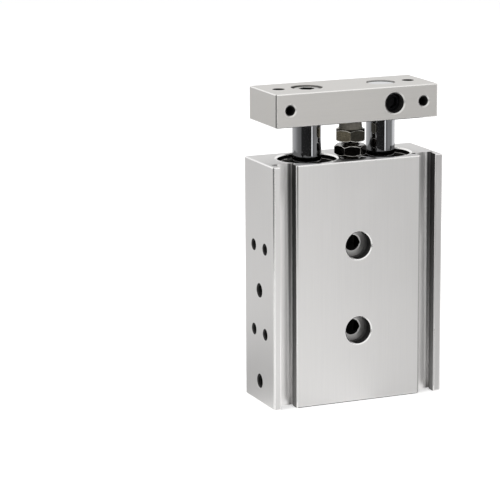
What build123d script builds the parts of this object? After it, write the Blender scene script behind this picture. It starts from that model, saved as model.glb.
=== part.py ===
from build123d import *
import os
from math import cos, radians, sin, tan

# Guided pneumatic cylinder: two ø20 bores side by side in one extruded housing,
# two parallel rods joined by an end plate, and a screwed stop between the rods.
# Millimetres. The origin is the centre of the housing's bottom face, +Z points to
# the rod end and the front face looks to -Y. The model is drawn retracted.

# Housing section
body_width = 64.0
body_depth = 25.0
body_corner = 0.5  # radius of the long outer corners
body_end_break = 0.35  # chamfer round both end faces
bore_d = 20.0
rod_pitch = 28.0  # between the two bore axes

# T-slots for position sensors, in the front face
lip_width = 2.6  # outer lip, from the side face to the slot
slot_mouth = 6.1
slot_depth = 5.4
slot_lip_depth = 3.9  # how deep the mouth is before the slot widens
slot_undercut = 0.9  # widening on each side
slot_edge_break = 0.25
slot_corner = 0.3

# Stack along the stroke, from the bottom face to the top face
ring_inset = 1.5  # from an end face to its retaining ring
ring_thickness = 1.0
head_cover_thickness = 3.3
head_gap = 1.2  # air left under the lower damper when retracted
damper_thickness = 1.2
stroke = 15.0
stop_clear = 0.1
rod_cover_length = 39.3
retainer_thickness = 1.2

# Fits, all radial
run_clear = 0.03  # sliding or turning pair
seat_clear = 0.02  # fixed piece in its seat
thread_clear = 0.05  # adjusting thread, drawn plain
edge_break = 0.3  # small chamfers on turned pieces

# Covers and their retaining rings
cover_shoulder = 0.3  # the cover seats are this much larger than the bore
ring_groove_depth = 0.35
ring_groove_play = 0.05  # above and below the ring
ring_width = 1.7  # radial width opposite the gap
ring_taper = 0.35  # the ring narrows by this towards the gap
ring_gap_angle = 46.0
ring_ear_spread = 6.0  # degrees, from the gap to the middle of an ear
ring_ear_r = 1.25
ring_ear_hole_r = 0.6
mouth_chamfer = 0.4
o_groove_width = 1.9
o_groove_depth = 1.3
o_ring_slack = 0.02
o_ring_height = 1.5  # squeezed section, with rounded edges
o_ring_round = 0.4
cover_o_ring_height = 3.0  # from the rod cover's inner face to its ring groove
bearing_length = 10.0  # each of the two lands that guide a rod
bearing_relief = 0.4
seal_depth = 5.0
seal_wall = 3.0  # radial thickness of the rod seal
seal_top_gap = 0.3
retainer_clear = 0.5  # round the rod
head_recess_r = 6.0
head_recess_depth = 0.8
puller_hole_r = 1.25
puller_hole_depth = 1.6

# Pistons
piston_clear = 0.1
nose_r = 8.0
nose_length = 2.0
land_width = 1.1
seal_groove_width = 2.8
seal_groove_depth = 2.4
magnet_groove_width = 3.0
magnet_groove_depth = 2.0
guide_groove_width = 3.3
guide_groove_depth = 0.9
guide_split = 1.0
ring_side_play = 0.1
magnet_inset = 0.3
seal_waist = 0.35
rod_socket_depth = 9.2
piston_web = 2.6
damper_inner_r = 5.4
damper_outer_r = 7.6

# Rods and their screws
rod_d = 10.0
rod_end_break = 0.6
piston_screw_d = 5.0
piston_screw_head_d = 8.5
piston_screw_head_height = 5.0
piston_screw_grip = 11.0  # thread length under the head
piston_screw_socket = 4.0
plate_screw_d = 6.0
plate_screw_head_d = 10.0
plate_screw_head_height = 6.0
plate_screw_grip = 14.0
plate_screw_socket = 5.0
screw_head_clear = 0.5  # radial, head in its counterbore
screw_hole_clear = 0.3  # radial, shank in its clearance hole
screw_tip_gap = 2.0  # tapped hole beyond the screw's tip
socket_share = 0.5  # depth of a hexagon socket as a share of its head

# End plate
plate_width = 61.0
plate_depth = 23.0
plate_thickness = 11.5
plate_corner = 0.5  # chamfer along its four upright corners
plate_end_break = 0.25
rod_register_depth = 1.0  # rod A's seat in the underside
rod_b_sink = 0.3  # rod B ends this far below the top face
plate_screw_sink = 0.4
clamp_tap_d = 6.8
clamp_screw_length = 4.0
clamp_screw_socket = 4.0
clamp_flat_depth = 0.4  # flat on rod B under the clamping screw
plate_tap_d = 3.3
plate_front_tap_inset = 5.5  # from the plate's ends to the taps in its front
plate_front_tap_depth = 8.0
plate_top_tap_inset = 6.0  # and to the taps in its top
tap_chamfer = 0.5  # radial size of the countersink of each tapped hole
tap_cone = 90.0

# Holes in the housing
mount_hole_low = 25.3  # height of the lower one
mount_hole_pitch = 30.0
mount_hole_d = 5.5
mount_counterbore_d = 9.5
mount_counterbore_depth = 5.5
mount_edge_break = 0.35  # chamfer at each of the hole's four edges
side_tap_d = 3.3
side_tap_spread = 9.6
side_tap_depth = 6.0
port_tap_d = 4.2
port_tap_depth = 5.0
port_passage_d = 2.5
head_port_height = 1.9  # above the head cover's inner face
rod_port_drop = 2.0  # below the rod cover's inner face
plug_length = 4.0
plug_sink = 0.4
plug_socket = 2.5
plug_socket_depth = 1.6

# Stop: adjusting screw with its lock nut and rubber bumper
adjuster_d = 6.0
adjuster_hole_depth = 16.0
stop_front = 5.4  # the stop stands this far in front of the rods
hex_flat = 9.8  # fits a 10 mm wrench
hex_break = 0.6  # depth of the cone that rounds the hexagon's corners
hex_face_inset = 0.07  # the round end face is this much inside the flats
nut_height = 3.5
nut_lift = 1.15  # thread seen between the housing and the nut
nut_gap = 1.4  # thread seen between the nut and the head
head_height = 4.0
adjuster_tip_gap = 3.0  # from the screw's tip to the bottom of its hole
nut_turn = 43.0  # where a corner of the nut points, from +X
head_turn = 5.0
bumper_height = 2.95
bumper_r = 4.1
bumper_taper = 0.35
bumper_edge = 0.4
bumper_pin_r = 2.0
bumper_pin_length = 2.4
bumper_pin_gap = 0.2

# Heights that follow from the stack
piston_length = (
    2 * nose_length + 4 * land_width
    + seal_groove_width + magnet_groove_width + guide_groove_width
)
head_cover_low = ring_inset + ring_thickness
chamber_low = head_cover_low + head_cover_thickness
piston_low = chamber_low + head_gap + damper_thickness
piston_top = piston_low + piston_length
chamber_top = piston_top + damper_thickness + stroke + stop_clear
rod_cover_top = chamber_top + rod_cover_length
rod_ring_low = rod_cover_top + retainer_thickness
body_length = rod_ring_low + ring_thickness + ring_inset
nut_low = body_length + nut_lift
nut_top = nut_low + nut_height
head_low = nut_top + nut_gap
bumper_low = head_low + head_height
plate_low = bumper_low + bumper_height
plate_top = plate_low + plate_thickness
rod_foot = piston_top - rod_socket_depth

# Radii that follow from the fits
rod_r = rod_d / 2
bore_r = bore_d / 2
cover_seat_r = bore_r + cover_shoulder
cover_r = cover_seat_r - seat_clear
ring_groove_r = cover_seat_r + ring_groove_depth
bearing_r = rod_r + run_clear
seal_seat_r = bearing_r + seal_wall
o_ring_width = o_groove_depth - 2 * o_ring_slack
o_ring_mid_r = cover_r - o_groove_depth / 2
piston_r = bore_r - piston_clear
screw_recess_depth = rod_foot - piston_web - piston_low
clamp_tap_r = clamp_tap_d / 2
slot_x = body_width / 2 - lip_width - slot_mouth / 2
front_y = -body_depth / 2
mount_heights = (mount_hole_low, mount_hole_low + mount_hole_pitch)
mount_floor_y = body_depth / 2 - mount_counterbore_depth
port_heights = (chamber_low + head_port_height, chamber_top - rod_port_drop)
plate_mid = plate_low + plate_thickness / 2
plate_front_tap_x = plate_width / 2 - plate_front_tap_inset
plate_top_tap_x = plate_width / 2 - plate_top_tap_inset
rods = {"a": -rod_pitch / 2, "b": rod_pitch / 2}
stop_section = Plane(origin=(0, -stop_front, 0), x_dir=(1, 0, 0), z_dir=(0, -1, 0))
stop_axis = Axis((0, -stop_front, 0), (0, 0, 1))

os.makedirs("parts", exist_ok=True)


# Housing: extruded section, stepped bores, ports and mounting holes
with BuildPart() as housing:
    with BuildSketch(Plane.XY) as section:
        Rectangle(body_width, body_depth)
        with Locations((-slot_x, front_y), (slot_x, front_y)):
            Rectangle(slot_mouth, slot_depth, align=(Align.CENTER, Align.MIN), mode=Mode.SUBTRACT)
        with Locations((-slot_x, front_y + slot_lip_depth), (slot_x, front_y + slot_lip_depth)):
            Rectangle(
                slot_mouth + 2 * slot_undercut, slot_depth - slot_lip_depth,
                align=(Align.CENTER, Align.MIN), mode=Mode.SUBTRACT,
            )
        corners = section.vertices()
        outer = corners.filter_by(lambda v: abs(abs(v.X) - body_width / 2) < 0.01)
        mouth = corners.filter_by(lambda v: abs(v.Y - front_y) < 0.01 and v not in outer)
        floor_corners = corners.filter_by(lambda v: abs(v.Y - front_y - slot_depth) < 0.01)
        fillet(outer, radius=body_corner)
        chamfer(mouth, length=slot_edge_break)
        fillet(floor_corners, radius=slot_corner)
    extrude(amount=body_length)
    end_edges = housing.faces().filter_by(Axis.Z).edges()
    slot_reach = slot_mouth / 2 + slot_undercut
    in_slot = end_edges.filter_by(
        lambda e: abs(abs(e.center().X) - slot_x) < slot_reach and e.center().Y < 0
    )
    chamfer([edge for edge in end_edges if edge not in in_slot], length=body_end_break)

    # Bores: the working bore, a wider seat for a cover at each end, and its ring groove
    for rod_x in rods.values():
        with BuildSketch(Plane(origin=(rod_x, 0, 0), x_dir=(1, 0, 0), z_dir=(0, -1, 0))):
            with BuildLine():
                Polyline(
                    (0, 0),
                    (cover_seat_r + mouth_chamfer, 0),
                    (cover_seat_r, mouth_chamfer),
                    (cover_seat_r, ring_inset - ring_groove_play),
                    (ring_groove_r, ring_inset - ring_groove_play),
                    (ring_groove_r, head_cover_low),
                    (cover_seat_r, head_cover_low),
                    (cover_seat_r, chamber_low),
                    (bore_r, chamber_low),
                    (bore_r, chamber_top),
                    (cover_seat_r, chamber_top),
                    (cover_seat_r, rod_ring_low),
                    (ring_groove_r, rod_ring_low),
                    (ring_groove_r, rod_ring_low + ring_thickness + ring_groove_play),
                    (cover_seat_r, rod_ring_low + ring_thickness + ring_groove_play),
                    (cover_seat_r, body_length - mouth_chamfer),
                    (cover_seat_r + mouth_chamfer, body_length),
                    (0, body_length),
                    close=True,
                )
            make_face()
        revolve(axis=Axis((rod_x, 0, 0), (0, 0, 1)), mode=Mode.SUBTRACT)

    # Mounting holes through the web between the bores, counterbored from both faces
    for hole_z in mount_heights:
        with BuildSketch(Plane(origin=(0, 0, hole_z), x_dir=(1, 0, 0), z_dir=(0, 0, 1))):
            with BuildLine():
                Polyline(
                    (0, front_y),
                    (mount_counterbore_d / 2 + mount_edge_break, front_y),
                    (mount_counterbore_d / 2, front_y + mount_edge_break),
                    (mount_counterbore_d / 2, -mount_floor_y),
                    (mount_hole_d / 2 + mount_edge_break, -mount_floor_y),
                    (mount_hole_d / 2, mount_edge_break - mount_floor_y),
                    (mount_hole_d / 2, mount_floor_y - mount_edge_break),
                    (mount_hole_d / 2 + mount_edge_break, mount_floor_y),
                    (mount_counterbore_d / 2, mount_floor_y),
                    (mount_counterbore_d / 2, -front_y - mount_edge_break),
                    (mount_counterbore_d / 2 + mount_edge_break, -front_y),
                    (0, -front_y),
                    close=True,
                )
            make_face()
        revolve(axis=Axis((0, 0, hole_z), (0, 1, 0)), mode=Mode.SUBTRACT)

    # Tapped holes and air ports in both side faces
    for side in (-1, 1):
        side_face = Plane(origin=(side * body_width / 2, 0, 0), x_dir=(0, 1, 0), z_dir=(side, 0, 0))
        for hole_z in mount_heights:
            with Locations(side_face):
                with Locations((-side_tap_spread / 2, side * hole_z), (side_tap_spread / 2, side * hole_z)):
                    CounterSinkHole(side_tap_d / 2, side_tap_d / 2 + tap_chamfer, side_tap_depth, tap_cone)
        for port_z in port_heights:
            with Locations(side_face):
                with Locations((0, side * port_z)):
                    CounterSinkHole(port_tap_d / 2, port_tap_d / 2 + tap_chamfer, port_tap_depth, tap_cone)
    with Locations(Plane.YZ):
        with Locations(*[(0, port_z) for port_z in port_heights]):
            Cylinder(port_passage_d / 2, body_width - 2 * port_tap_depth, mode=Mode.SUBTRACT)

    # Tapped hole for the adjusting screw
    with Locations((0, -stop_front, body_length)):
        CounterSinkHole(
            adjuster_d / 2 + thread_clear, adjuster_d / 2 + thread_clear + tap_chamfer,
            adjuster_hole_depth, tap_cone,
        )
housing.part.label = "housing"
export_step(housing.part, "parts/housing.step")


# Plugs that close the two ports on the right side
with BuildPart() as port_plugs:
    for port_z in port_heights:
        with BuildSketch(Plane(origin=(body_width / 2 - plug_sink, 0, port_z), z_dir=(-1, 0, 0))):
            Circle(port_tap_d / 2 - seat_clear)
        extrude(amount=plug_length)
        with BuildSketch(Plane(origin=(body_width / 2 - plug_sink, 0, port_z), z_dir=(-1, 0, 0))):
            RegularPolygon(plug_socket / 2, 6, major_radius=False)
        extrude(amount=plug_socket_depth, mode=Mode.SUBTRACT)
port_plugs.part.label = "port_plugs"
export_step(port_plugs.part, "parts/port_plugs.step")


# The pieces that both bores hold, turned about the axis of their own bore
for side, rod_x in rods.items():
    turning = Plane(origin=(rod_x, 0, 0), x_dir=(1, 0, 0), z_dir=(0, -1, 0))
    spindle = Axis((rod_x, 0, 0), (0, 0, 1))

    # Rod cover: a long bush with two bearing lands, a seal seat on top and a ring groove
    o_groove_low = chamber_top + cover_o_ring_height
    o_groove_r = cover_r - o_groove_depth
    seal_seat_low = rod_cover_top - seal_depth
    with BuildPart() as rod_cover:
        with BuildSketch(turning):
            with BuildLine():
                Polyline(
                    (bearing_r + edge_break, chamber_top),
                    (cover_r - edge_break, chamber_top),
                    (cover_r, chamber_top + edge_break),
                    (cover_r, o_groove_low),
                    (o_groove_r, o_groove_low),
                    (o_groove_r, o_groove_low + o_groove_width),
                    (cover_r, o_groove_low + o_groove_width),
                    (cover_r, rod_cover_top),
                    (seal_seat_r, rod_cover_top),
                    (seal_seat_r, seal_seat_low),
                    (bearing_r, seal_seat_low),
                    (bearing_r, seal_seat_low - bearing_length),
                    (bearing_r + bearing_relief, seal_seat_low - bearing_length - bearing_relief),
                    (bearing_r + bearing_relief, chamber_top + bearing_length + bearing_relief),
                    (bearing_r, chamber_top + bearing_length),
                    (bearing_r, chamber_top + edge_break),
                    close=True,
                )
            make_face()
        revolve(axis=spindle)
    rod_cover.part.label = f"rod_cover_{side}"
    export_step(rod_cover.part, f"parts/rod_cover_{side}.step")

    with BuildPart() as rod_cover_o_ring:
        with BuildSketch(turning) as ring_section:
            with Locations((o_ring_mid_r, o_groove_low + o_groove_width / 2)):
                Rectangle(o_ring_width, o_ring_height)
            chamfer(ring_section.vertices(), length=o_ring_round)
        revolve(axis=spindle)
    rod_cover_o_ring.part.label = f"rod_cover_o_ring_{side}"
    export_step(rod_cover_o_ring.part, f"parts/rod_cover_o_ring_{side}.step")

    # Rod seal: a cup whose lips open towards the pressure
    seal_inner = rod_r + run_clear
    seal_outer = seal_seat_r - seat_clear
    seal_mid = (seal_inner + seal_outer) / 2
    seal_top = rod_cover_top - seal_top_gap
    with BuildPart() as rod_seal:
        with BuildSketch(turning):
            with BuildLine():
                Polyline(
                    (seal_inner, seal_seat_low),
                    (seal_inner + edge_break, seal_seat_low),
                    (seal_mid, seal_seat_low + (seal_outer - seal_inner) / 2),
                    (seal_outer - edge_break, seal_seat_low),
                    (seal_outer, seal_seat_low),
                    (seal_outer, seal_top),
                    (seal_inner + edge_break, seal_top),
                    (seal_inner, seal_top - edge_break),
                    close=True,
                )
            make_face()
        revolve(axis=spindle)
    rod_seal.part.label = f"rod_seal_{side}"
    export_step(rod_seal.part, f"parts/rod_seal_{side}.step")

    with BuildPart() as seal_retainer:
        with BuildSketch(turning):
            with BuildLine():
                Polyline(
                    (rod_r + retainer_clear, rod_cover_top),
                    (cover_r, rod_cover_top),
                    (cover_r, rod_ring_low),
                    (rod_r + retainer_clear + edge_break, rod_ring_low),
                    (rod_r + retainer_clear, rod_ring_low - edge_break),
                    close=True,
                )
            make_face()
        revolve(axis=spindle)
    seal_retainer.part.label = f"seal_retainer_{side}"
    export_step(seal_retainer.part, f"parts/seal_retainer_{side}.step")

    # Head cover: a disc with a ring groove, a turned recess and a puller hole
    head_groove_low = head_cover_low + (head_cover_thickness - o_groove_width) / 2
    with BuildPart() as head_cover:
        with BuildSketch(turning):
            with BuildLine():
                Polyline(
                    (0, head_cover_low + head_recess_depth + puller_hole_depth),
                    (puller_hole_r, head_cover_low + head_recess_depth + puller_hole_depth),
                    (puller_hole_r, head_cover_low + head_recess_depth),
                    (head_recess_r - head_recess_depth, head_cover_low + head_recess_depth),
                    (head_recess_r, head_cover_low),
                    (cover_r, head_cover_low),
                    (cover_r, head_groove_low),
                    (cover_r - o_groove_depth, head_groove_low),
                    (cover_r - o_groove_depth, head_groove_low + o_groove_width),
                    (cover_r, head_groove_low + o_groove_width),
                    (cover_r, chamber_low - edge_break),
                    (cover_r - edge_break, chamber_low),
                    (0, chamber_low),
                    close=True,
                )
            make_face()
        revolve(axis=spindle)
    head_cover.part.label = f"head_cover_{side}"
    export_step(head_cover.part, f"parts/head_cover_{side}.step")

    with BuildPart() as head_cover_o_ring:
        with BuildSketch(turning) as ring_section:
            with Locations((o_ring_mid_r, head_groove_low + o_groove_width / 2)):
                Rectangle(o_ring_width, o_ring_height)
            chamfer(ring_section.vertices(), length=o_ring_round)
        revolve(axis=spindle)
    head_cover_o_ring.part.label = f"head_cover_o_ring_{side}"
    export_step(head_cover_o_ring.part, f"parts/head_cover_o_ring_{side}.step")

    # Retaining rings: tapered band, open towards the back, an eyed ear at each end of the gap
    ring_outer_r = ring_groove_r - seat_clear
    ring_inner_r = ring_outer_r - ring_width + ring_taper / 2
    ear_angle = ring_gap_angle / 2 + ring_ear_spread
    ear_reach = ring_outer_r - ring_width - ring_ear_r / 2
    ear_spots = [
        (ear_reach * sin(radians(turn)), ear_reach * cos(radians(turn)))
        for turn in (-ear_angle, ear_angle)
    ]
    gap_reach = 2 * ring_outer_r
    gap_half = gap_reach * tan(radians(ring_gap_angle / 2))
    for end, ring_low in (("rod", rod_ring_low), ("head", ring_inset)):
        with BuildPart() as retaining_ring:
            with BuildSketch(Plane(origin=(rod_x, 0, ring_low), x_dir=(1, 0, 0), z_dir=(0, 0, 1))):
                Circle(ring_outer_r)
                with Locations((0, ring_taper / 2)):
                    Circle(ring_inner_r, mode=Mode.SUBTRACT)
                with BuildLine():
                    Polyline((0, 0), (gap_half, gap_reach), (-gap_half, gap_reach), close=True)
                make_face(mode=Mode.SUBTRACT)
                with Locations(*ear_spots):
                    Circle(ring_ear_r)
                    Circle(ring_ear_hole_r, mode=Mode.SUBTRACT)
            extrude(amount=ring_thickness)
        retaining_ring.part.label = f"{end}_ring_{side}"
        export_step(retaining_ring.part, f"parts/{end}_ring_{side}.step")

    # Piston: grooves for the seal, the magnet and the guide ring, a rod socket, a screw recess
    seal_low = piston_low + nose_length + land_width
    magnet_low = seal_low + seal_groove_width + land_width
    guide_low = magnet_low + magnet_groove_width + land_width
    seal_floor = piston_r - seal_groove_depth
    magnet_floor = piston_r - magnet_groove_depth
    guide_floor = piston_r - guide_groove_depth
    recess_r = piston_screw_head_d / 2 + screw_head_clear / 2
    recess_top = piston_low + screw_recess_depth
    with BuildPart() as piston:
        with BuildSketch(turning):
            with BuildLine():
                Polyline(
                    (piston_screw_d / 2 + screw_hole_clear, recess_top),
                    (recess_r, recess_top),
                    (recess_r, piston_low),
                    (nose_r, piston_low),
                    (nose_r, piston_low + nose_length),
                    (piston_r, piston_low + nose_length),
                    (piston_r, seal_low),
                    (seal_floor, seal_low),
                    (seal_floor, seal_low + seal_groove_width),
                    (piston_r, seal_low + seal_groove_width),
                    (piston_r, magnet_low),
                    (magnet_floor, magnet_low),
                    (magnet_floor, magnet_low + magnet_groove_width),
                    (piston_r, magnet_low + magnet_groove_width),
                    (piston_r, guide_low),
                    (guide_floor, guide_low),
                    (guide_floor, guide_low + guide_groove_width),
                    (piston_r, guide_low + guide_groove_width),
                    (piston_r, piston_top - nose_length),
                    (nose_r, piston_top - nose_length),
                    (nose_r, piston_top),
                    (rod_r + seat_clear, piston_top),
                    (rod_r + seat_clear, rod_foot),
                    (piston_screw_d / 2 + screw_hole_clear, rod_foot),
                    close=True,
                )
            make_face()
        revolve(axis=spindle)
    piston.part.label = f"piston_{side}"
    export_step(piston.part, f"parts/piston_{side}.step")

    # Piston seal: two lips with a waist between them
    lip_r = bore_r - run_clear
    seal_base = seal_low + ring_side_play
    seal_crown = seal_low + seal_groove_width - ring_side_play
    with BuildPart() as piston_seal:
        with BuildSketch(turning):
            with BuildLine():
                Polyline(
                    (seal_floor + seat_clear, seal_base),
                    (lip_r, seal_base),
                    (lip_r - seal_waist, (seal_base + seal_crown) / 2),
                    (lip_r, seal_crown),
                    (seal_floor + seat_clear, seal_crown),
                    close=True,
                )
            make_face()
        revolve(axis=spindle)
    piston_seal.part.label = f"piston_seal_{side}"
    export_step(piston_seal.part, f"parts/piston_seal_{side}.step")

    with BuildPart() as magnet:
        with BuildSketch(Plane(origin=(rod_x, 0, magnet_low + ring_side_play), z_dir=(0, 0, 1))):
            Circle(piston_r - magnet_inset)
            Circle(magnet_floor + seat_clear, mode=Mode.SUBTRACT)
        extrude(amount=magnet_groove_width - 2 * ring_side_play)
    magnet.part.label = f"magnet_{side}"
    export_step(magnet.part, f"parts/magnet_{side}.step")

    # Guide ring: a split band that keeps the piston off the bore
    with BuildPart() as guide_ring:
        with BuildSketch(Plane(origin=(rod_x, 0, guide_low + ring_side_play), z_dir=(0, 0, 1))):
            Circle(bore_r - run_clear)
            Circle(guide_floor + seat_clear, mode=Mode.SUBTRACT)
            with Locations((0, bore_r)):
                Rectangle(guide_split, bore_r, mode=Mode.SUBTRACT)
        extrude(amount=guide_groove_width - 2 * ring_side_play)
    guide_ring.part.label = f"guide_ring_{side}"
    export_step(guide_ring.part, f"parts/guide_ring_{side}.step")

    # Dampers: one rubber ring on each face of the piston
    with BuildPart() as dampers:
        for damper_low in (piston_low - damper_thickness, piston_top):
            with BuildSketch(Plane(origin=(rod_x, 0, damper_low), z_dir=(0, 0, 1))):
                Circle(damper_outer_r)
                Circle(damper_inner_r, mode=Mode.SUBTRACT)
            extrude(amount=damper_thickness)
    dampers.part.label = f"dampers_{side}"
    export_step(dampers.part, f"parts/dampers_{side}.step")

    # Screw that draws the piston onto the rod
    with BuildPart() as piston_screw:
        with BuildSketch(Plane(origin=(rod_x, 0, recess_top), z_dir=(0, 0, -1))):
            Circle(piston_screw_head_d / 2)
        extrude(amount=piston_screw_head_height)
        chamfer(piston_screw.faces().sort_by(Axis.Z)[0].edges(), length=edge_break)
        with BuildSketch(Plane(origin=(rod_x, 0, recess_top - piston_screw_head_height), z_dir=(0, 0, 1))):
            RegularPolygon(piston_screw_socket / 2, 6, major_radius=False)
        extrude(amount=piston_screw_head_height * socket_share, mode=Mode.SUBTRACT)
        with BuildSketch(Plane(origin=(rod_x, 0, recess_top), z_dir=(0, 0, 1))):
            Circle(piston_screw_d / 2)
        extrude(amount=piston_screw_grip)
        chamfer(piston_screw.faces().sort_by(Axis.Z)[-1].edges(), length=edge_break)
    piston_screw.part.label = f"piston_screw_{side}"
    export_step(piston_screw.part, f"parts/piston_screw_{side}.step")


# Rod A: held against a register in the end plate by a screw
piston_screw_tip = rod_foot - piston_web + piston_screw_grip
plate_screw_seat = plate_top - plate_screw_sink - plate_screw_head_height
plate_screw_tip = plate_screw_seat - plate_screw_grip
rod_a_top = plate_low + rod_register_depth
rod_a_plane = Plane(origin=(rods["a"], 0, 0), x_dir=(1, 0, 0), z_dir=(0, -1, 0))
with BuildPart() as rod_a:
    with BuildSketch(rod_a_plane):
        with BuildLine():
            Polyline(
                (piston_screw_d / 2 + seat_clear, rod_foot),
                (rod_r - rod_end_break, rod_foot),
                (rod_r, rod_foot + rod_end_break),
                (rod_r, rod_a_top - rod_end_break),
                (rod_r - rod_end_break, rod_a_top),
                (plate_screw_d / 2 + seat_clear, rod_a_top),
                (plate_screw_d / 2 + seat_clear, plate_screw_tip - screw_tip_gap),
                (0, plate_screw_tip - screw_tip_gap - plate_screw_d / 2),
                (0, piston_screw_tip + screw_tip_gap + piston_screw_d / 2),
                (piston_screw_d / 2 + seat_clear, piston_screw_tip + screw_tip_gap),
                close=True,
            )
        make_face()
    revolve(axis=Axis((rods["a"], 0, 0), (0, 0, 1)))
rod_a.part.label = "rod_a"
export_step(rod_a.part, "parts/rod_a.step")


# Rod B: passes through the end plate, with a flat for the clamping screw
rod_b_top = plate_top - rod_b_sink
rod_b_plane = Plane(origin=(rods["b"], 0, 0), x_dir=(1, 0, 0), z_dir=(0, -1, 0))
with BuildPart() as rod_b:
    with BuildSketch(rod_b_plane):
        with BuildLine():
            Polyline(
                (piston_screw_d / 2 + seat_clear, rod_foot),
                (rod_r - rod_end_break, rod_foot),
                (rod_r, rod_foot + rod_end_break),
                (rod_r, rod_b_top - rod_end_break),
                (rod_r - rod_end_break, rod_b_top),
                (0, rod_b_top),
                (0, piston_screw_tip + screw_tip_gap + piston_screw_d / 2),
                (piston_screw_d / 2 + seat_clear, piston_screw_tip + screw_tip_gap),
                close=True,
            )
        make_face()
    revolve(axis=Axis((rods["b"], 0, 0), (0, 0, 1)))
    with Locations((rods["b"], clamp_flat_depth - rod_r, plate_mid)):
        Box(
            rod_d, rod_r, clamp_tap_d + 2 * tap_chamfer,
            align=(Align.CENTER, Align.MAX, Align.CENTER), mode=Mode.SUBTRACT,
        )
rod_b.part.label = "rod_b"
export_step(rod_b.part, "parts/rod_b.step")


# End plate: bar that joins the rods and carries the load
with BuildPart() as end_plate:
    with BuildSketch(Plane.XY.offset(plate_low)) as plate_outline:
        Rectangle(plate_width, plate_depth)
        chamfer(plate_outline.vertices(), length=plate_corner)
    extrude(amount=plate_thickness)
    chamfer(end_plate.faces().filter_by(Axis.Z).edges(), length=plate_end_break)
    plate_face = Plane(origin=(0, -plate_depth / 2, plate_mid), x_dir=(1, 0, 0), z_dir=(0, -1, 0))

    # Rod A: shallow register below, counterbored screw hole above
    with Locations((rods["a"], 0, plate_low)):
        Cylinder(
            rod_r + seat_clear, rod_register_depth,
            align=(Align.CENTER, Align.CENTER, Align.MIN), mode=Mode.SUBTRACT,
        )
    with Locations((rods["a"], 0, plate_top)):
        CounterBoreHole(
            plate_screw_d / 2 + screw_hole_clear, plate_screw_head_d / 2 + screw_head_clear,
            plate_top - plate_screw_seat,
        )

    # Rod B: plain bore, and a tapped hole for the clamping screw in the front
    with Locations((rods["b"], 0, plate_top)):
        Hole(rod_r + seat_clear)
    with Locations(plate_face):
        with Locations((rods["b"], 0)):
            CounterSinkHole(clamp_tap_r, clamp_tap_r + tap_chamfer, plate_depth / 2, tap_cone)

    # Tapped holes for the load, in the front and right through from the top
    with Locations(plate_face):
        with Locations((-plate_front_tap_x, 0), (plate_front_tap_x, 0)):
            CounterSinkHole(
                plate_tap_d / 2, plate_tap_d / 2 + tap_chamfer, plate_front_tap_depth, tap_cone
            )
    with Locations((-plate_top_tap_x, 0, plate_top), (plate_top_tap_x, 0, plate_top)):
        CounterSinkHole(plate_tap_d / 2, plate_tap_d / 2 + tap_chamfer, plate_thickness, tap_cone)
end_plate.part.label = "end_plate"
export_step(end_plate.part, "parts/end_plate.step")


# Screw that holds rod A
with BuildPart() as plate_screw:
    with BuildSketch(Plane(origin=(rods["a"], 0, plate_screw_seat), z_dir=(0, 0, 1))):
        Circle(plate_screw_head_d / 2)
    extrude(amount=plate_screw_head_height)
    chamfer(plate_screw.faces().sort_by(Axis.Z)[-1].edges(), length=edge_break)
    with BuildSketch(Plane(origin=(rods["a"], 0, plate_top - plate_screw_sink), z_dir=(0, 0, -1))):
        RegularPolygon(plate_screw_socket / 2, 6, major_radius=False)
    extrude(amount=plate_screw_head_height * socket_share, mode=Mode.SUBTRACT)
    with BuildSketch(Plane(origin=(rods["a"], 0, plate_screw_seat), z_dir=(0, 0, -1))):
        Circle(plate_screw_d / 2)
    extrude(amount=plate_screw_grip)
    chamfer(plate_screw.faces().sort_by(Axis.Z)[0].edges(), length=edge_break)
plate_screw.part.label = "plate_screw"
export_step(plate_screw.part, "parts/plate_screw.step")


# Headless screw that clamps rod B
clamp_screw_foot = clamp_flat_depth - rod_r
clamp_screw_face = clamp_screw_foot - clamp_screw_length
with BuildPart() as clamp_screw:
    with BuildSketch(Plane(origin=(rods["b"], clamp_screw_foot, plate_mid), z_dir=(0, -1, 0))):
        Circle(clamp_tap_r - seat_clear)
    extrude(amount=clamp_screw_length)
    chamfer(clamp_screw.faces().filter_by(Axis.Y).edges(), length=edge_break)
    with BuildSketch(Plane(origin=(rods["b"], clamp_screw_face, plate_mid), z_dir=(0, 1, 0))):
        RegularPolygon(clamp_screw_socket / 2, 6, major_radius=False)
    extrude(amount=clamp_screw_length * socket_share, mode=Mode.SUBTRACT)
clamp_screw.part.label = "clamp_screw"
export_step(clamp_screw.part, "parts/clamp_screw.step")


# Lock nut: hexagon with its corners rounded by a cone at both ends
hex_corner = hex_flat / 2 / cos(radians(30))
hex_face_r = hex_flat / 2 - hex_face_inset
with BuildPart() as lock_nut:
    with BuildSketch(Plane((0, -stop_front, nut_low))):
        RegularPolygon(hex_corner, 6, rotation=nut_turn)
        Circle(adjuster_d / 2 + thread_clear, mode=Mode.SUBTRACT)
    extrude(amount=nut_height)
    with BuildSketch(stop_section):
        with BuildLine():
            Polyline(
                (0, nut_low),
                (hex_face_r, nut_low),
                (hex_corner, nut_low + hex_break),
                (hex_corner, nut_top - hex_break),
                (hex_face_r, nut_top),
                (0, nut_top),
                close=True,
            )
        make_face()
    revolve(axis=stop_axis, mode=Mode.INTERSECT)
lock_nut.part.label = "lock_nut"
export_step(lock_nut.part, "parts/lock_nut.step")


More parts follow.
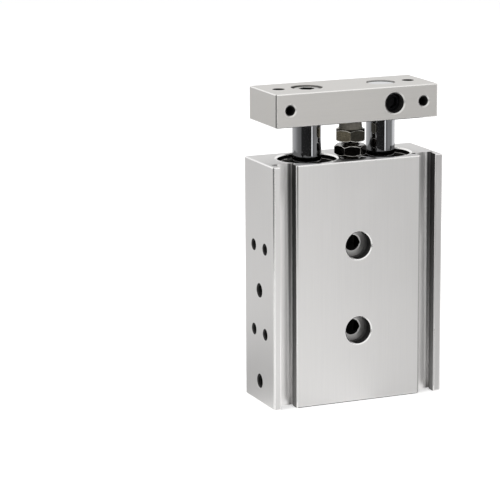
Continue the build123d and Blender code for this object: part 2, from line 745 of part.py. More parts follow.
# Adjusting screw: hexagon head with a socket for the bumper's pin
adjuster_tip = body_length - adjuster_hole_depth + adjuster_tip_gap
with BuildPart() as adjusting_screw:
    with BuildSketch(Plane((0, -stop_front, head_low))):
        RegularPolygon(hex_corner, 6, rotation=head_turn)
    extrude(amount=head_height)
    with BuildSketch(stop_section):
        with BuildLine():
            Polyline(
                (0, head_low),
                (hex_face_r, head_low),
                (hex_corner, head_low + hex_break),
                (hex_corner, bumper_low - hex_break),
                (hex_face_r, bumper_low),
                (0, bumper_low),
                close=True,
            )
        make_face()
    revolve(axis=stop_axis, mode=Mode.INTERSECT)
    with BuildSketch(Plane((0, -stop_front, adjuster_tip))):
        Circle(adjuster_d / 2)
    extrude(amount=head_low - adjuster_tip)
    chamfer(adjusting_screw.faces().sort_by(Axis.Z)[0].edges(), length=edge_break)
    with BuildSketch(Plane((0, -stop_front, bumper_low))):
        Circle(bumper_pin_r + thread_clear)
    extrude(amount=-(bumper_pin_length + bumper_pin_gap), mode=Mode.SUBTRACT)
adjusting_screw.part.label = "adjusting_screw"
export_step(adjusting_screw.part, "parts/adjusting_screw.step")


# Bumper: rubber stop with a pin that sits in the head of the adjusting screw
with BuildPart() as bumper:
    with BuildSketch(stop_section):
        with BuildLine():
            Polyline(
                (0, bumper_low - bumper_pin_length),
                (bumper_pin_r, bumper_low - bumper_pin_length),
                (bumper_pin_r, bumper_low),
                (bumper_r, bumper_low),
                (bumper_r - bumper_taper, plate_low - bumper_edge),
                (bumper_r - bumper_taper - bumper_edge, plate_low),
                (0, plate_low),
                close=True,
            )
        make_face()
    revolve(axis=stop_axis)
bumper.part.label = "bumper"
export_step(bumper.part, "parts/bumper.step")

print(f"housing {body_width} x {body_depth} x {body_length:.2f}, overall height {plate_top:.2f}")
print(f"ports at {port_heights[0]:.2f} and {port_heights[1]:.2f}, stroke {stroke}")
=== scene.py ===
from math import cos, pi, radians

import bmesh
import bpy
import numpy as np
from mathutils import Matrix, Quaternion, Vector


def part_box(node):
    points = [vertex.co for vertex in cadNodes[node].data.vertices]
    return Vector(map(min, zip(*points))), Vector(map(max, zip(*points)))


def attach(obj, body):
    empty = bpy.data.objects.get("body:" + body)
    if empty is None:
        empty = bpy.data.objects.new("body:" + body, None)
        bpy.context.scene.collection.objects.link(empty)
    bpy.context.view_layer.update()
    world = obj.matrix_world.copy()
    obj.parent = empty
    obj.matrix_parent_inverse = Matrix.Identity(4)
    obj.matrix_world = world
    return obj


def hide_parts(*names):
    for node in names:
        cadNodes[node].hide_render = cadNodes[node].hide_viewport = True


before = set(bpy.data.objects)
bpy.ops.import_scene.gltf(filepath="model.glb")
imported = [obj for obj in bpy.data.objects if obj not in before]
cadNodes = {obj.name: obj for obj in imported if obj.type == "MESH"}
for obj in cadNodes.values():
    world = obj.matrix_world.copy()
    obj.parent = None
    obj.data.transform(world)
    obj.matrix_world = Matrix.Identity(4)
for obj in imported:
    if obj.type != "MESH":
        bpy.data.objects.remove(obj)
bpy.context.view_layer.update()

# Looks of a guided pneumatic cylinder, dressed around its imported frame.
# Metres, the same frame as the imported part: +Z is the rod end, the front looks to -Y.

scene = bpy.context.scene
mm = 0.001


# Camera: the photograph's long lens, a little above the housing and to its left
cameraSetup = {
    "place": (-0.35545, -0.75777, 0.23691),
    "aim": (-0.03538, 0.0, 0.05456),
    "roll": -0.363,      # degrees about the line of sight
    "lens": 176.94,      # mm on a 36 mm wide sensor
}

cameraData = bpy.data.cameras.new("camera")
cameraData.sensor_width = 36.0
cameraData.lens = cameraSetup["lens"]
cameraData.clip_start = 0.02
cameraData.clip_end = 20.0
camera = bpy.data.objects.new("camera", cameraData)
scene.collection.objects.link(camera)
camera.location = cameraSetup["place"]
sight = Vector(cameraSetup["aim"]) - Vector(cameraSetup["place"])
roll = Quaternion((0, 0, 1), radians(cameraSetup["roll"]))
camera.rotation_mode = "QUATERNION"
camera.rotation_quaternion = sight.to_track_quat("-Z", "Y") @ roll
scene.camera = camera
scene.view_settings.view_transform = "Standard"
print("camera set")


def boxOf(name):
    return [np.array(corner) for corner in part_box(name)]


# Small helpers for shader trees
def addNode(tree, kind, inputs=None, **settings):
    made = tree.nodes.new(kind)
    for name, value in settings.items():
        setattr(made, name, value)
    for name, value in (inputs or {}).items():
        if isinstance(value, bpy.types.NodeSocket):
            tree.links.new(value, made.inputs[name])
        else:
            made.inputs[name].default_value = value
    return made


def mathNode(tree, operation, first, second=0.0, third=0.0):
    return addNode(tree, "ShaderNodeMath", {0: first, 1: second, 2: third}, operation=operation).outputs[0]


def minus(tree, first, second):
    return mathNode(tree, "SUBTRACT", first, second)


def times(tree, first, second):
    return mathNode(tree, "MULTIPLY", first, second)


def larger(tree, first, second):
    return mathNode(tree, "MAXIMUM", first, second)


def vectorNode(tree, operation, first, second=(0, 0, 0)):
    return addNode(tree, "ShaderNodeVectorMath", {0: first, 1: second}, operation=operation).outputs[0]


def partsOf(tree, vector):
    return addNode(tree, "ShaderNodeSeparateXYZ", {0: vector}).outputs


def mixColour(tree, share, first, second, blend="MIX"):
    mixer = addNode(tree, "ShaderNodeMix", {0: share, 6: first, 7: second}, data_type="RGBA",
                    blend_type=blend)
    return mixer.outputs[2]


def spread(tree, value, low, high, newLow, newHigh):
    # straight-line change of one range of values into another, held at its ends
    inputs = {0: value, 1: low, 2: high, 3: newLow, 4: newHigh}
    return addNode(tree, "ShaderNodeMapRange", inputs).outputs[0]


def within(tree, value, low, high, soft=0.00004):
    # 1 between low and high, falling to 0 over soft on either side
    risen = spread(tree, value, low - soft, low, 0.0, 1.0)
    return times(tree, risen, spread(tree, value, high, high + soft, 1.0, 0.0))


def distanceFrom(tree, first, second):
    # square root of first squared plus second squared
    squares = mathNode(tree, "MULTIPLY_ADD", first, first, times(tree, second, second))
    return mathNode(tree, "SQRT", squares)


def folded(tree, value, middle, reach):
    # distance to the nearer of the two places middle - reach and middle + reach
    away = mathNode(tree, "ABSOLUTE", minus(tree, value, middle))
    return mathNode(tree, "ABSOLUTE", minus(tree, away, reach))


def rampOf(tree, value, stops):
    # a curve through (place, level) stops, as grey levels of a colour ramp
    brightest = max(level for place, level in stops)
    ramp = addNode(tree, "ShaderNodeValToRGB", {0: value})
    table = ramp.color_ramp.elements
    table.remove(table[1])
    for index, (place, level) in enumerate(sorted(stops)):
        element = table.new(place) if index else table[0]
        element.position = place
        element.color = (level / brightest,) * 3 + (1,)
    return times(tree, ramp.outputs[0], brightest)


def dimmed(tree, light, share, least):
    # light, times least where share is 1
    return times(tree, light, spread(tree, share, 0.0, 1.0, 1.0, least))


def mixValue(tree, share, first, second):
    return addNode(tree, "ShaderNodeMix", {0: share, 2: first, 3: second}).outputs[0]


def greyColour(tree, value):
    return addNode(tree, "ShaderNodeCombineColor", {0: value, 1: value, 2: value}).outputs[0]


# Painted shade in reflections: 1 away from reflections; in a polished face close by, what this surface gives
# back is dimmed to least
def nearShade(tree, least, reach=0.04):
    rays = addNode(tree, "ShaderNodeLightPath").outputs
    close = spread(tree, rays["Ray Length"], 0.7 * reach, reach, 1.0, 0.0)
    return spread(tree, times(tree, rays["Is Glossy Ray"], close), 0.0, 1.0, 1.0, least)


def newGroup(name, inputs, outputs):
    group = bpy.data.node_groups.new(name, "ShaderNodeTree")
    for label, kind, default in inputs:
        socket = group.interface.new_socket(label, in_out="INPUT", socket_type=kind)
        socket.default_value = default
    for label, kind in outputs:
        group.interface.new_socket(label, in_out="OUTPUT", socket_type=kind)
    start = group.nodes.new("NodeGroupInput")
    end = group.nodes.new("NodeGroupOutput")
    return group, start.outputs, end.inputs


def useGroup(tree, group, **values):
    made = tree.nodes.new("ShaderNodeGroup")
    made.node_tree = group
    for name, value in values.items():
        socket = made.inputs[name]
        if isinstance(value, bpy.types.NodeSocket):
            tree.links.new(value, socket)
        else:
            socket.default_value = value
    return made.outputs


# Edge wear: a box's cut corners, where the distances to two neighbouring faces add up to no more than
# the size of the cut, and a ragged band beside them
def makeEdgeWear():
    group, given, result = newGroup(
        "edgeWear",
        [("Point", "NodeSocketVector", (0, 0, 0)), ("Centre", "NodeSocketVector", (0, 0, 0)),
         ("Half", "NodeSocketVector", (0.01, 0.01, 0.01)), ("Upright", "NodeSocketFloat", 0.0005),
         ("Ends", "NodeSocketFloat", 0.0003), ("Ragged", "NodeSocketFloat", 0.5)],
        [("Mask", "NodeSocketFloat")],
    )
    offset = vectorNode(group, "ABSOLUTE", vectorNode(group, "SUBTRACT", given["Point"], given["Centre"]))
    depth = addNode(group, "ShaderNodeSeparateXYZ",
                    {0: vectorNode(group, "SUBTRACT", given["Half"], offset)}).outputs
    upright = mathNode(group, "DIVIDE", mathNode(group, "ADD", depth[0], depth[1]), given["Upright"])
    nearer = mathNode(group, "MINIMUM", depth[0], depth[1])
    ends = mathNode(group, "DIVIDE", mathNode(group, "ADD", nearer, depth[2]), given["Ends"])
    noise = addNode(group, "ShaderNodeTexNoise", {"Vector": given["Point"], "Scale": 900.0, "Detail": 3.0})
    fade = mathNode(group, "MULTIPLY_ADD", noise.outputs[0], given["Ragged"], 0.05)
    past = mathNode(group, "SUBTRACT", mathNode(group, "MINIMUM", upright, ends), 1.04)
    group.links.new(spread(group, mathNode(group, "DIVIDE", past, fade), 0.0, 1.0, 1.0, 0.0), result["Mask"])
    return group


# Grain: noise stretched along the axes, as a value from 0 to 1
def makeGrain():
    group, given, result = newGroup(
        "grain",
        [("Point", "NodeSocketVector", (0, 0, 0)), ("Stretch", "NodeSocketVector", (1, 1, 1)),
         ("Scale", "NodeSocketFloat", 1000.0), ("Detail", "NodeSocketFloat", 3.0)],
        [("Value", "NodeSocketFloat")],
    )
    point = vectorNode(group, "MULTIPLY", given["Point"], given["Stretch"])
    noise = addNode(group, "ShaderNodeTexNoise",
                    {"Vector": point, "Scale": given["Scale"], "Detail": given["Detail"]})
    group.links.new(noise.outputs[0], result["Value"])
    return group


# Handling: large soft patches that shift tone and gloss a little
def makeHandling():
    group, given, result = newGroup(
        "handling",
        [("Point", "NodeSocketVector", (0, 0, 0)), ("Size", "NodeSocketFloat", 0.02)],
        [("Patch", "NodeSocketFloat")],
    )
    scale = mathNode(group, "DIVIDE", 1.0, given["Size"])
    patch = addNode(group, "ShaderNodeTexNoise", {"Vector": given["Point"], "Scale": scale, "Detail": 4.0})
    group.links.new(patch.outputs[0], result["Patch"])
    return group


edgeWear = makeEdgeWear()
grain = makeGrain()
handling = makeHandling()


def newMaterial(name, **constants):
    material = bpy.data.materials.new(name)
    material.use_nodes = True
    tree = material.node_tree
    shader = tree.nodes["Principled BSDF"]
    for label, value in constants.items():
        shader.inputs[label.replace("_", " ")].default_value = value
    point = addNode(tree, "ShaderNodeTexCoord").outputs["Object"]
    return material, tree, shader, point


def bumpInto(tree, shader, height, strength, depth):
    bump = addNode(tree, "ShaderNodeBump", {"Strength": strength, "Distance": depth, "Height": height})
    tree.links.new(bump.outputs[0], shader.inputs["Normal"])


# Anodised alloy: pale grey with drawn lines along one axis and burnished edges, with painted light and shade
# in its hollows, painted highlights on rims and cut edges, and painted shade in close reflections
alloyLook = {
    "housing": {"colour": (0.735, 0.725, 0.715, 1), "edge": (0.96, 0.95, 0.94, 1), "rough": 0.40,
                "edgeRough": 0.26, "stretch": (1.0, 1.0, 0.02), "lineScale": 2600.0,
                "upright": 0.5 * mm, "ends": 0.38 * mm},
    "plate": {"colour": (0.62, 0.605, 0.583, 1), "edge": (0.94, 0.93, 0.91, 1), "rough": 0.44,
              "edgeRough": 0.26, "stretch": (0.03, 1.0, 1.0), "lineScale": 2200.0,
              "upright": 0.5 * mm, "ends": 0.28 * mm},
}


# Painted light and shade in the housing's hollows, from 0 to 1 and a little more: the slots, whose floors
# are painted darker to both sides and lighter towards the foot, the mounting holes, the tapped holes and the
# bores
hollowLook = {
    "slotX": 26.35 * mm, "mouthHalf": 3.08 * mm, "slotReach": 4.1 * mm, "slotUnder": 3.96 * mm,
    "slotLit": 0.75 * mm, "lipDepth": 3.88 * mm, "slotDepth": 5.4 * mm,
    # share of slotReach from the slot's middle, and the light on its floor there
    "leftFloor": [(0.0, 1.02), (0.14, 1.06), (0.235, 1.24), (0.33, 1.34), (0.40, 1.25), (0.47, 0.64),
                  (0.55, 0.24), (0.62, 0.12), (0.70, 0.14), (0.79, 0.26), (0.83, 0.50), (0.88, 0.50),
                  (0.91, 0.05)],
    "rightFloor": [(0.0, 0.66), (0.14, 0.70), (0.235, 0.85), (0.33, 1.05), (0.42, 1.30), (0.50, 1.20),
                   (0.56, 0.45), (0.62, 0.13), (0.70, 0.10), (0.80, 0.15), (0.87, 0.22), (0.94, 0.04)],
    "slotWall": 0.046, "slotMost": 1.34, "mouthFrom": 0.26 * mm, "mouthLight": 1.3,
    "slotMatte": (1.2 * mm, 2.0 * mm), "slotFoot": (0.5 * mm, 4.0 * mm, 0.62, 1.0),
    # share of the housing's height, and how much lighter the slots are there
    "slotRise": [(0.0, 8.0), (0.1, 7.4), (0.28, 4.6), (0.46, 3.0), (0.70, 1.6), (0.90, 1.0)],
    "mountMiddle": 40.3 * mm, "mountReach": 15.0 * mm, "mountHole": 2.76 * mm, "mountBore": 4.8 * mm,
    "mountFloor": 7.0 * mm, "mountOuter": 12.14 * mm, "holeDark": 0.04,
    # from, to, and the light at both: the counterbore's wall inwards from its floor, upwards and at its
    # left, and the step towards its right and outwards; then the through hole's broken edge
    "wallInward": (9.4 * mm, 0.20, 0.03), "wallUp": (-1.5 * mm, 4.0 * mm, 0.7, 1.6),
    "wallLeft": (-2.5 * mm, -0.5 * mm, 0.9, 0.0), "stepRight": (0.35, 0.95, 1.0, 0.3),
    "stepOut": (3.5 * mm, 4.6 * mm, 1.2, 0.85), "holeEdge": (2.7 * mm, 3.15 * mm, 0.15 * mm),
    "holeEdgeLight": 1.36,
    "tapSpread": 4.8 * mm, "tapRadius": 2.04 * mm, "portMiddle": 23.85 * mm, "portReach": 16.15 * mm,
    "portRadius": 2.5 * mm, "tapDepth": 31.95 * mm,
    "boreX": 14.0 * mm, "boreRadius": 10.36 * mm, "boreMouth": 84.58 * mm, "rimRadius": 11.05 * mm,
}


# Painted shade lines, painted highlights and painted shade on the housing's outside: from and to along the
# axis that the name ends with
paintedLineLook = {
    "frontY": -12.3 * mm, "slotX": (-23.18 * mm, -22.8 * mm), "cornerX": -31.6 * mm, "cornerY": -12.1 * mm,
    "fadeZ": (45 * mm, 80 * mm), "dark": 0.2, "footHalf": 23.0 * mm, "footY": -12.0 * mm,
    "footZ": 0.34 * mm, "rightX": (22.85 * mm, 23.4 * mm), "rightDark": 0.62,
    "cutReach": (3.0 * mm, 3.3 * mm), "cutFadeZ": (20 * mm, 50 * mm), "topZ": 84.93 * mm, "topDark": 0.86,
    "stopReach": (5.2 * mm, 6.4 * mm), "stopDark": 0.12, "lipX": (29.5 * mm, 31.4 * mm), "lipDark": 0.86,
}


# Painted light and shade in the slots, with the shares of them that are matte
def slotLight(tree, x, y, z):
    look = hollowLook
    away = folded(tree, x, 0.0, look["slotX"])
    deep = mathNode(tree, "ADD", y, -float(housingLow[1]))
    onFloor = spread(tree, deep, look["slotDepth"] - 0.1 * mm, look["slotDepth"] - 0.03 * mm, 0.0, 1.0)
    share = mathNode(tree, "DIVIDE", away, look["slotReach"])
    floorLight = mixValue(tree, mathNode(tree, "GREATER_THAN", x, 0.0),
                          rampOf(tree, share, look["leftFloor"]), rampOf(tree, share, look["rightFloor"]))
    floorLight = times(tree, floorLight, spread(tree, z, *look["slotFoot"]))
    rise = rampOf(tree, mathNode(tree, "DIVIDE", z, float(housingHigh[2])), look["slotRise"])
    light = times(tree, mixValue(tree, onFloor, look["slotWall"], floorLight), rise)
    light = mathNode(tree, "MINIMUM", light, look["slotMost"])
    atMouth = spread(tree, deep, look["slotLit"] - 0.1 * mm, look["slotLit"], 1.0, 0.0)
    light = mixValue(tree, atMouth, light, look["mouthLight"])
    mouth = times(tree, within(tree, away, -1.0, look["mouthHalf"], 0.01 * mm),
                  within(tree, deep, look["mouthFrom"], look["slotDepth"] + 0.1 * mm))
    under = times(tree, within(tree, away, -1.0, look["slotUnder"], 0.01 * mm),
                  within(tree, deep, look["lipDepth"], look["slotDepth"] + 0.02 * mm, 0.01 * mm))
    inside = larger(tree, mouth, under)
    matte = mixValue(tree, onFloor, 1.0, spread(tree, away, *look["slotMatte"], 0.0, 1.0))
    return mixValue(tree, inside, 1.0, light), times(tree, inside, matte)


# Painted light and shade in the counterbored mounting holes: a painted highlight on the broken edge round
# the through hole, a floor with painted shade on its right, and walls painted darker towards the step
def mountLight(tree, x, y, z):
    look = hollowLook
    up = folded(tree, z, look["mountMiddle"], look["mountReach"])
    radius = distanceFrom(tree, x, up)
    inward = mathNode(tree, "ABSOLUTE", y)
    wall = spread(tree, inward, look["mountFloor"], *look["wallInward"])
    wall = times(tree, wall, spread(tree, up, *look["wallUp"]))
    wall = larger(tree, wall, spread(tree, x, *look["wallLeft"]))
    onStep = spread(tree, inward, look["mountFloor"] + 0.03 * mm, look["mountFloor"] + 0.07 * mm, 1.0, 0.0)
    right = spread(tree, mathNode(tree, "DIVIDE", x, radius), *look["stepRight"])
    step = times(tree, right, spread(tree, radius, *look["stepOut"]))
    step = mixValue(tree, within(tree, radius, *look["holeEdge"]), step, look["holeEdgeLight"])
    light = mixValue(tree, onStep, wall, step)
    past = spread(tree, radius, look["mountHole"], look["mountHole"] + 0.06 * mm, look["holeDark"], 1.0)
    inside = times(tree, within(tree, radius, -1.0, look["mountBore"]),
                   within(tree, inward, -1.0, look["mountOuter"]))
    paintedRim = times(tree, within(tree, radius, look["mountBore"] - 0.1 * mm, look["mountBore"] + 0.36 * mm),
                within(tree, inward, look["mountOuter"], 1.0))
    light = mixValue(tree, inside, 1.0, times(tree, light, past))
    return light, inside, paintedRim


# Painted shade lines beside the left slot and down the front left corner, which fade towards the foot, along
# the pad's foot and its right edge; painted highlights on the cuts at the slots' mouths; painted shade
# making the top face duller, a painted shadow and reflection of the stop under it, and painted shade on the
# right lip
def paintedLinesAndShade(tree, x, y, z, light, paintedRim):
    look = paintedLineLook
    front = within(tree, y, -1.0, look["frontY"])
    line = times(tree, within(tree, x, *look["slotX"], 0.05 * mm), front)
    corner = times(tree, within(tree, x, -1.0, look["cornerX"]), within(tree, y, -1.0, look["cornerY"]))
    line = times(tree, larger(tree, line, corner), spread(tree, z, *look["fadeZ"], 0.0, 1.0))
    foot = times(tree, within(tree, y, -1.0, look["footY"]), within(tree, z, -1.0, look["footZ"]))
    foot = times(tree, within(tree, x, -look["footHalf"], look["footHalf"]), foot)
    right = times(tree, within(tree, x, *look["rightX"]), front)
    light = dimmed(tree, light, right, look["rightDark"])
    light = dimmed(tree, light, larger(tree, line, foot), look["dark"])
    # painted highlight: the mouths' cut edges shine towards the foot
    cut = within(tree, folded(tree, x, 0.0, hollowLook["slotX"]), *look["cutReach"])
    cut = times(tree, cut, spread(tree, z, *look["cutFadeZ"], 1.0, 0.0))
    cut = times(tree, cut, minus(tree, 1.0, right))
    paintedRim = larger(tree, paintedRim, times(tree, cut, front))
    # painted shade: the top face darker, away from its rims
    top = times(tree, within(tree, z, look["topZ"], 1.0), minus(tree, 1.0, paintedRim))
    light = dimmed(tree, light, top, look["topDark"])
    # painted shadow and reflection of the stop on the top face round its foot
    fromStop = distanceFrom(tree, x, minus(tree, y, stopPlace[1]))
    under = times(tree, top, spread(tree, fromStop, *look["stopReach"], 1.0, 0.0))
    light = dimmed(tree, light, under, look["stopDark"])
    # painted shade on the right lip
    lip = times(tree, within(tree, x, *look["lipX"]), front)
    return dimmed(tree, light, lip, look["lipDark"]), paintedRim


def housingLight(tree, point):
    look = hollowLook
    x, y, z = partsOf(tree, point)
    inSlots, slotMatte = slotLight(tree, x, y, z)
    inMounts, mountMatte, mountPaintedRim = mountLight(tree, x, y, z)
    light = times(tree, inSlots, inMounts)
    # painted shade in the tapped holes in both sides and the ports, with their countersinks
    across = minus(tree, mathNode(tree, "ABSOLUTE", y), look["tapSpread"])
    up = folded(tree, z, look["mountMiddle"], look["mountReach"])
    inTap = within(tree, distanceFrom(tree, across, up), -1.0, look["tapRadius"])
    portUp = folded(tree, z, look["portMiddle"], look["portReach"])
    inPort = within(tree, distanceFrom(tree, y, portUp), -1.0, look["portRadius"])
    sideways = mathNode(tree, "ABSOLUTE", x)
    deep = spread(tree, sideways, look["tapDepth"] - 0.04 * mm, look["tapDepth"], 1.0, 0.0)
    drilled = times(tree, larger(tree, inTap, inPort), deep)
    # painted shade in the bores, inside their mouths, and a painted highlight round their rims
    fromBore = distanceFrom(tree, folded(tree, x, 0.0, look["boreX"]), y)
    inBore = times(tree, within(tree, fromBore, -1.0, look["boreRadius"]),
                   within(tree, z, 0.45 * mm, look["boreMouth"]))
    light = dimmed(tree, light, drilled, 0.05)
    light = dimmed(tree, light, inBore, 0.015)
    paintedRim = times(tree, within(tree, fromBore, look["boreRadius"] - 0.1 * mm, look["rimRadius"]),
                within(tree, z, look["boreMouth"] + 0.05 * mm, 1.0))
    paintedRim = larger(tree, paintedRim, mountPaintedRim)
    light, paintedRim = paintedLinesAndShade(tree, x, y, z, light, paintedRim)
    return light, paintedRim, larger(tree, slotMatte, mountMatte)


plateHollows = {
    "clampX": 14.0 * mm, "clampRadius": 3.5 * mm, "middle": 103.75 * mm, "front": -11.1 * mm,
    "frontTapX": 25.0 * mm, "topTapX": 24.5 * mm, "tapRadius": 1.75 * mm, "topTapRadius": 2.12 * mm,
    "top": 109.46 * mm, "screwX": -14.0 * mm, "screwRadius": 5.55 * mm, "screwTop": 109.3 * mm,
    "rimReach": 0.55 * mm, "rimY": -11.0 * mm, "rimShine": 0.5, "holeDark": 0.02, "wallDark": 0.25,
    "cornerX": -30.06 * mm, "cornerY": -11.06 * mm, "cornerDark": 0.25,
}


def plateLight(tree, point):
    look = plateHollows
    x, y, z = partsOf(tree, point)
    up = minus(tree, z, look["middle"])
    fromClamp = distanceFrom(tree, minus(tree, x, look["clampX"]), up)
    fromFrontTap = distanceFrom(tree, folded(tree, x, 0.0, look["frontTapX"]), up)
    front = larger(tree, within(tree, fromClamp, -1.0, look["clampRadius"]),
                   within(tree, fromFrontTap, -1.0, look["tapRadius"]))
    front = times(tree, front, within(tree, y, look["front"], 0.0))
    fromTopTap = distanceFrom(tree, folded(tree, x, 0.0, look["topTapX"]), y)
    topTap = times(tree, within(tree, fromTopTap, -1.0, look["topTapRadius"]),
                   within(tree, z, 0.0, look["top"]))
    fromScrew = distanceFrom(tree, minus(tree, x, look["screwX"]), y)
    screwWall = times(tree, within(tree, fromScrew, -1.0, look["screwRadius"]),
                      within(tree, z, 100.0 * mm, look["screwTop"]))
    dark = larger(tree, front, topTap)
    # painted highlight: the broken edges of the front holes catch the light all round
    reach = look["rimReach"]
    clampRim = within(tree, fromClamp, look["clampRadius"], look["clampRadius"] + reach)
    tapRim = within(tree, fromFrontTap, look["tapRadius"], look["tapRadius"] + reach)
    paintedRim = times(tree, larger(tree, clampRim, tapRim), within(tree, y, -1.0, look["rimY"]))
    # painted shade: the front and top tapped holes and the clamp hole nearly black, the screw's counterbore
    # wall darker
    light = spread(tree, dark, 0.0, 1.0, 1.0, look["holeDark"])
    light = dimmed(tree, light, screwWall, look["wallDark"])
    dark = larger(tree, dark, screwWall)
    # a thin painted shade line down the front left corner
    corner = times(tree, within(tree, x, -1.0, look["cornerX"]), within(tree, y, -1.0, look["cornerY"]))
    light = dimmed(tree, light, corner, look["cornerDark"])
    return light, times(tree, paintedRim, look["rimShine"]), dark


def makeAlloy(name, look, low, high, lightInHollows):
    material, tree, shader, point = newMaterial(name, Specular_IOR_Level=0.0)
    centre = tuple((low + high) / 2)
    half = tuple((high - low) / 2)
    wearAndPaintedRim = useGroup(tree, edgeWear, Point=point, Centre=centre, Half=half, Upright=look["upright"],
                    Ends=look["ends"], Ragged=0.6)["Mask"]
    lines = useGroup(tree, grain, Point=point, Stretch=look["stretch"], Scale=look["lineScale"],
                     Detail=4.0)["Value"]
    micro = useGroup(tree, grain, Point=point, Scale=9000.0, Detail=2.0)["Value"]
    soft = useGroup(tree, handling, Point=point, Size=0.03)["Patch"]
    light, paintedRim, matte = lightInHollows(tree, point)
    # painted highlights on the holes' rims and the slots' cut edges join the real edge wear and take its
    # bright colour and gloss
    wearAndPaintedRim = larger(tree, wearAndPaintedRim, paintedRim)
    tone = spread(tree, lines, 0.3, 0.7, 0.98, 1.01)
    tone = times(tree, tone, spread(tree, soft, 0.3, 0.7, 0.98, 1.015))
    # the painted light and shade of the hollows and the painted shade of close reflections multiply the
    # colour
    tone = times(tree, times(tree, tone, light), nearShade(tree, 0.12))
    wornAndPaintedRim = times(tree, wearAndPaintedRim, 0.9)
    body = mixColour(tree, wornAndPaintedRim, look["colour"], look["edge"])
    tree.links.new(mixColour(tree, 1.0, body, greyColour(tree, tone), blend="MULTIPLY"),
                   shader.inputs["Base Color"])
    metal = times(tree, spread(tree, light, 0.1, 0.5, 0.0, 1.0), spread(tree, matte, 0.0, 1.0, 1.0, 0.0))
    tree.links.new(metal, shader.inputs["Metallic"])
    rough = spread(tree, lines, 0.3, 0.7, look["rough"] - 0.02, look["rough"] + 0.02)
    rough = mathNode(tree, "ADD", rough, spread(tree, soft, 0.3, 0.7, -0.03, 0.03))
    rough = mixValue(tree, wearAndPaintedRim, rough, look["edgeRough"])
    tree.links.new(rough, shader.inputs["Roughness"])
    height = mathNode(tree, "MULTIPLY_ADD", lines, 0.7, times(tree, micro, 0.3))
    bumpInto(tree, shader, height, 0.2, 0.00002)
    return material


housingLow, housingHigh = boxOf("housing")
plateLow, plateHigh = boxOf("end_plate")
nutLow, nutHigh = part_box("lock_nut")
stopPlace = (0.0, (nutLow[1] + nutHigh[1]) / 2, 0.0)      # the stop's axis, in front of the rods
housingAlloy = makeAlloy("anodisedHousing", alloyLook["housing"], housingLow, housingHigh, housingLight)
plateAlloy = makeAlloy("anodisedPlate", alloyLook["plate"], plateLow, plateHigh, plateLight)


# Turned metals and plain moulded stuff share one recipe: a colour that grain shifts, gloss that it roughens
stuffLook = {
    "coverAlloy": {"colour": (0.52, 0.52, 0.52, 1), "dark": (0.40, 0.40, 0.40, 1), "metal": 1.0,
                   "rough": 0.30, "scale": 3000.0, "stretch": (1, 1, 6), "bump": 0.15},
    "bearingAlloy": {"colour": (0.55, 0.43, 0.25, 1), "dark": (0.42, 0.31, 0.17, 1), "metal": 1.0,
                     "rough": 0.30, "scale": 2500.0, "stretch": (1, 1, 8), "bump": 0.15},
    "springSteel": {"colour": (0.06, 0.057, 0.054, 1), "dark": (0.025, 0.024, 0.022, 1), "rough": 0.3,
                    "scale": 2200.0, "bump": 0.25, "specular": 0.1,
                    "innerHighlight": (14.0 * mm, 9.0 * mm, 9.42 * mm, 83.42 * mm)},
    "platedSteel": {"colour": (0.60, 0.59, 0.56, 1), "dark": (0.45, 0.44, 0.41, 1), "metal": 1.0,
                    "rough": 0.22, "scale": 2600.0, "bump": 0.15},
    "socketSteel": {"colour": (0.50, 0.49, 0.47, 1), "dark": (0.30, 0.29, 0.27, 1), "metal": 0.8,
                    "rough": 0.30, "scale": 2600.0, "bump": 0.2,
                    "socket": (-14.0 * mm, 2.95 * mm, 109.0 * mm)},
    "darkSteel": {"colour": (0.006, 0.006, 0.007, 1), "dark": (0.002, 0.002, 0.002, 1), "rough": 0.38,
                  "scale": 2600.0, "bump": 0.25, "specular": 0.08},
    # the tapped holes' linings: nearly black, a painted shade of the deep holes
    "tappedAlloyShaded": {"colour": (0.014, 0.0135, 0.013, 1), "dark": (0.003, 0.003, 0.003, 1), "rough": 0.4,
                    "scale": 2600.0, "bump": 0.2, "specular": 0.08},
    "glossBlack": {"colour": (0.006, 0.006, 0.006, 1), "dark": (0.003, 0.003, 0.003, 1), "rough": 0.25,
                   "scale": 2600.0, "bump": 0.1, "specular": 0.06},
    "bumperRubber": {"colour": (0.150, 0.138, 0.112, 1), "dark": (0.070, 0.064, 0.052, 1), "rough": 0.55,
                     "scale": 1400.0, "bump": 0.3},
    "blackRubber": {"colour": (0.016, 0.016, 0.016, 1), "dark": (0.008, 0.008, 0.008, 1), "rough": 0.16,
                    "scale": 2600.0, "bump": 0.08},
    "guideResin": {"colour": (0.30, 0.24, 0.16, 1), "dark": (0.20, 0.15, 0.09, 1), "rough": 0.5,
                   "scale": 1600.0, "bump": 0.2},
    "magnetFerrite": {"colour": (0.075, 0.075, 0.078, 1), "dark": (0.035, 0.035, 0.036, 1), "rough": 0.6,
                      "scale": 2200.0, "bump": 0.35},
}


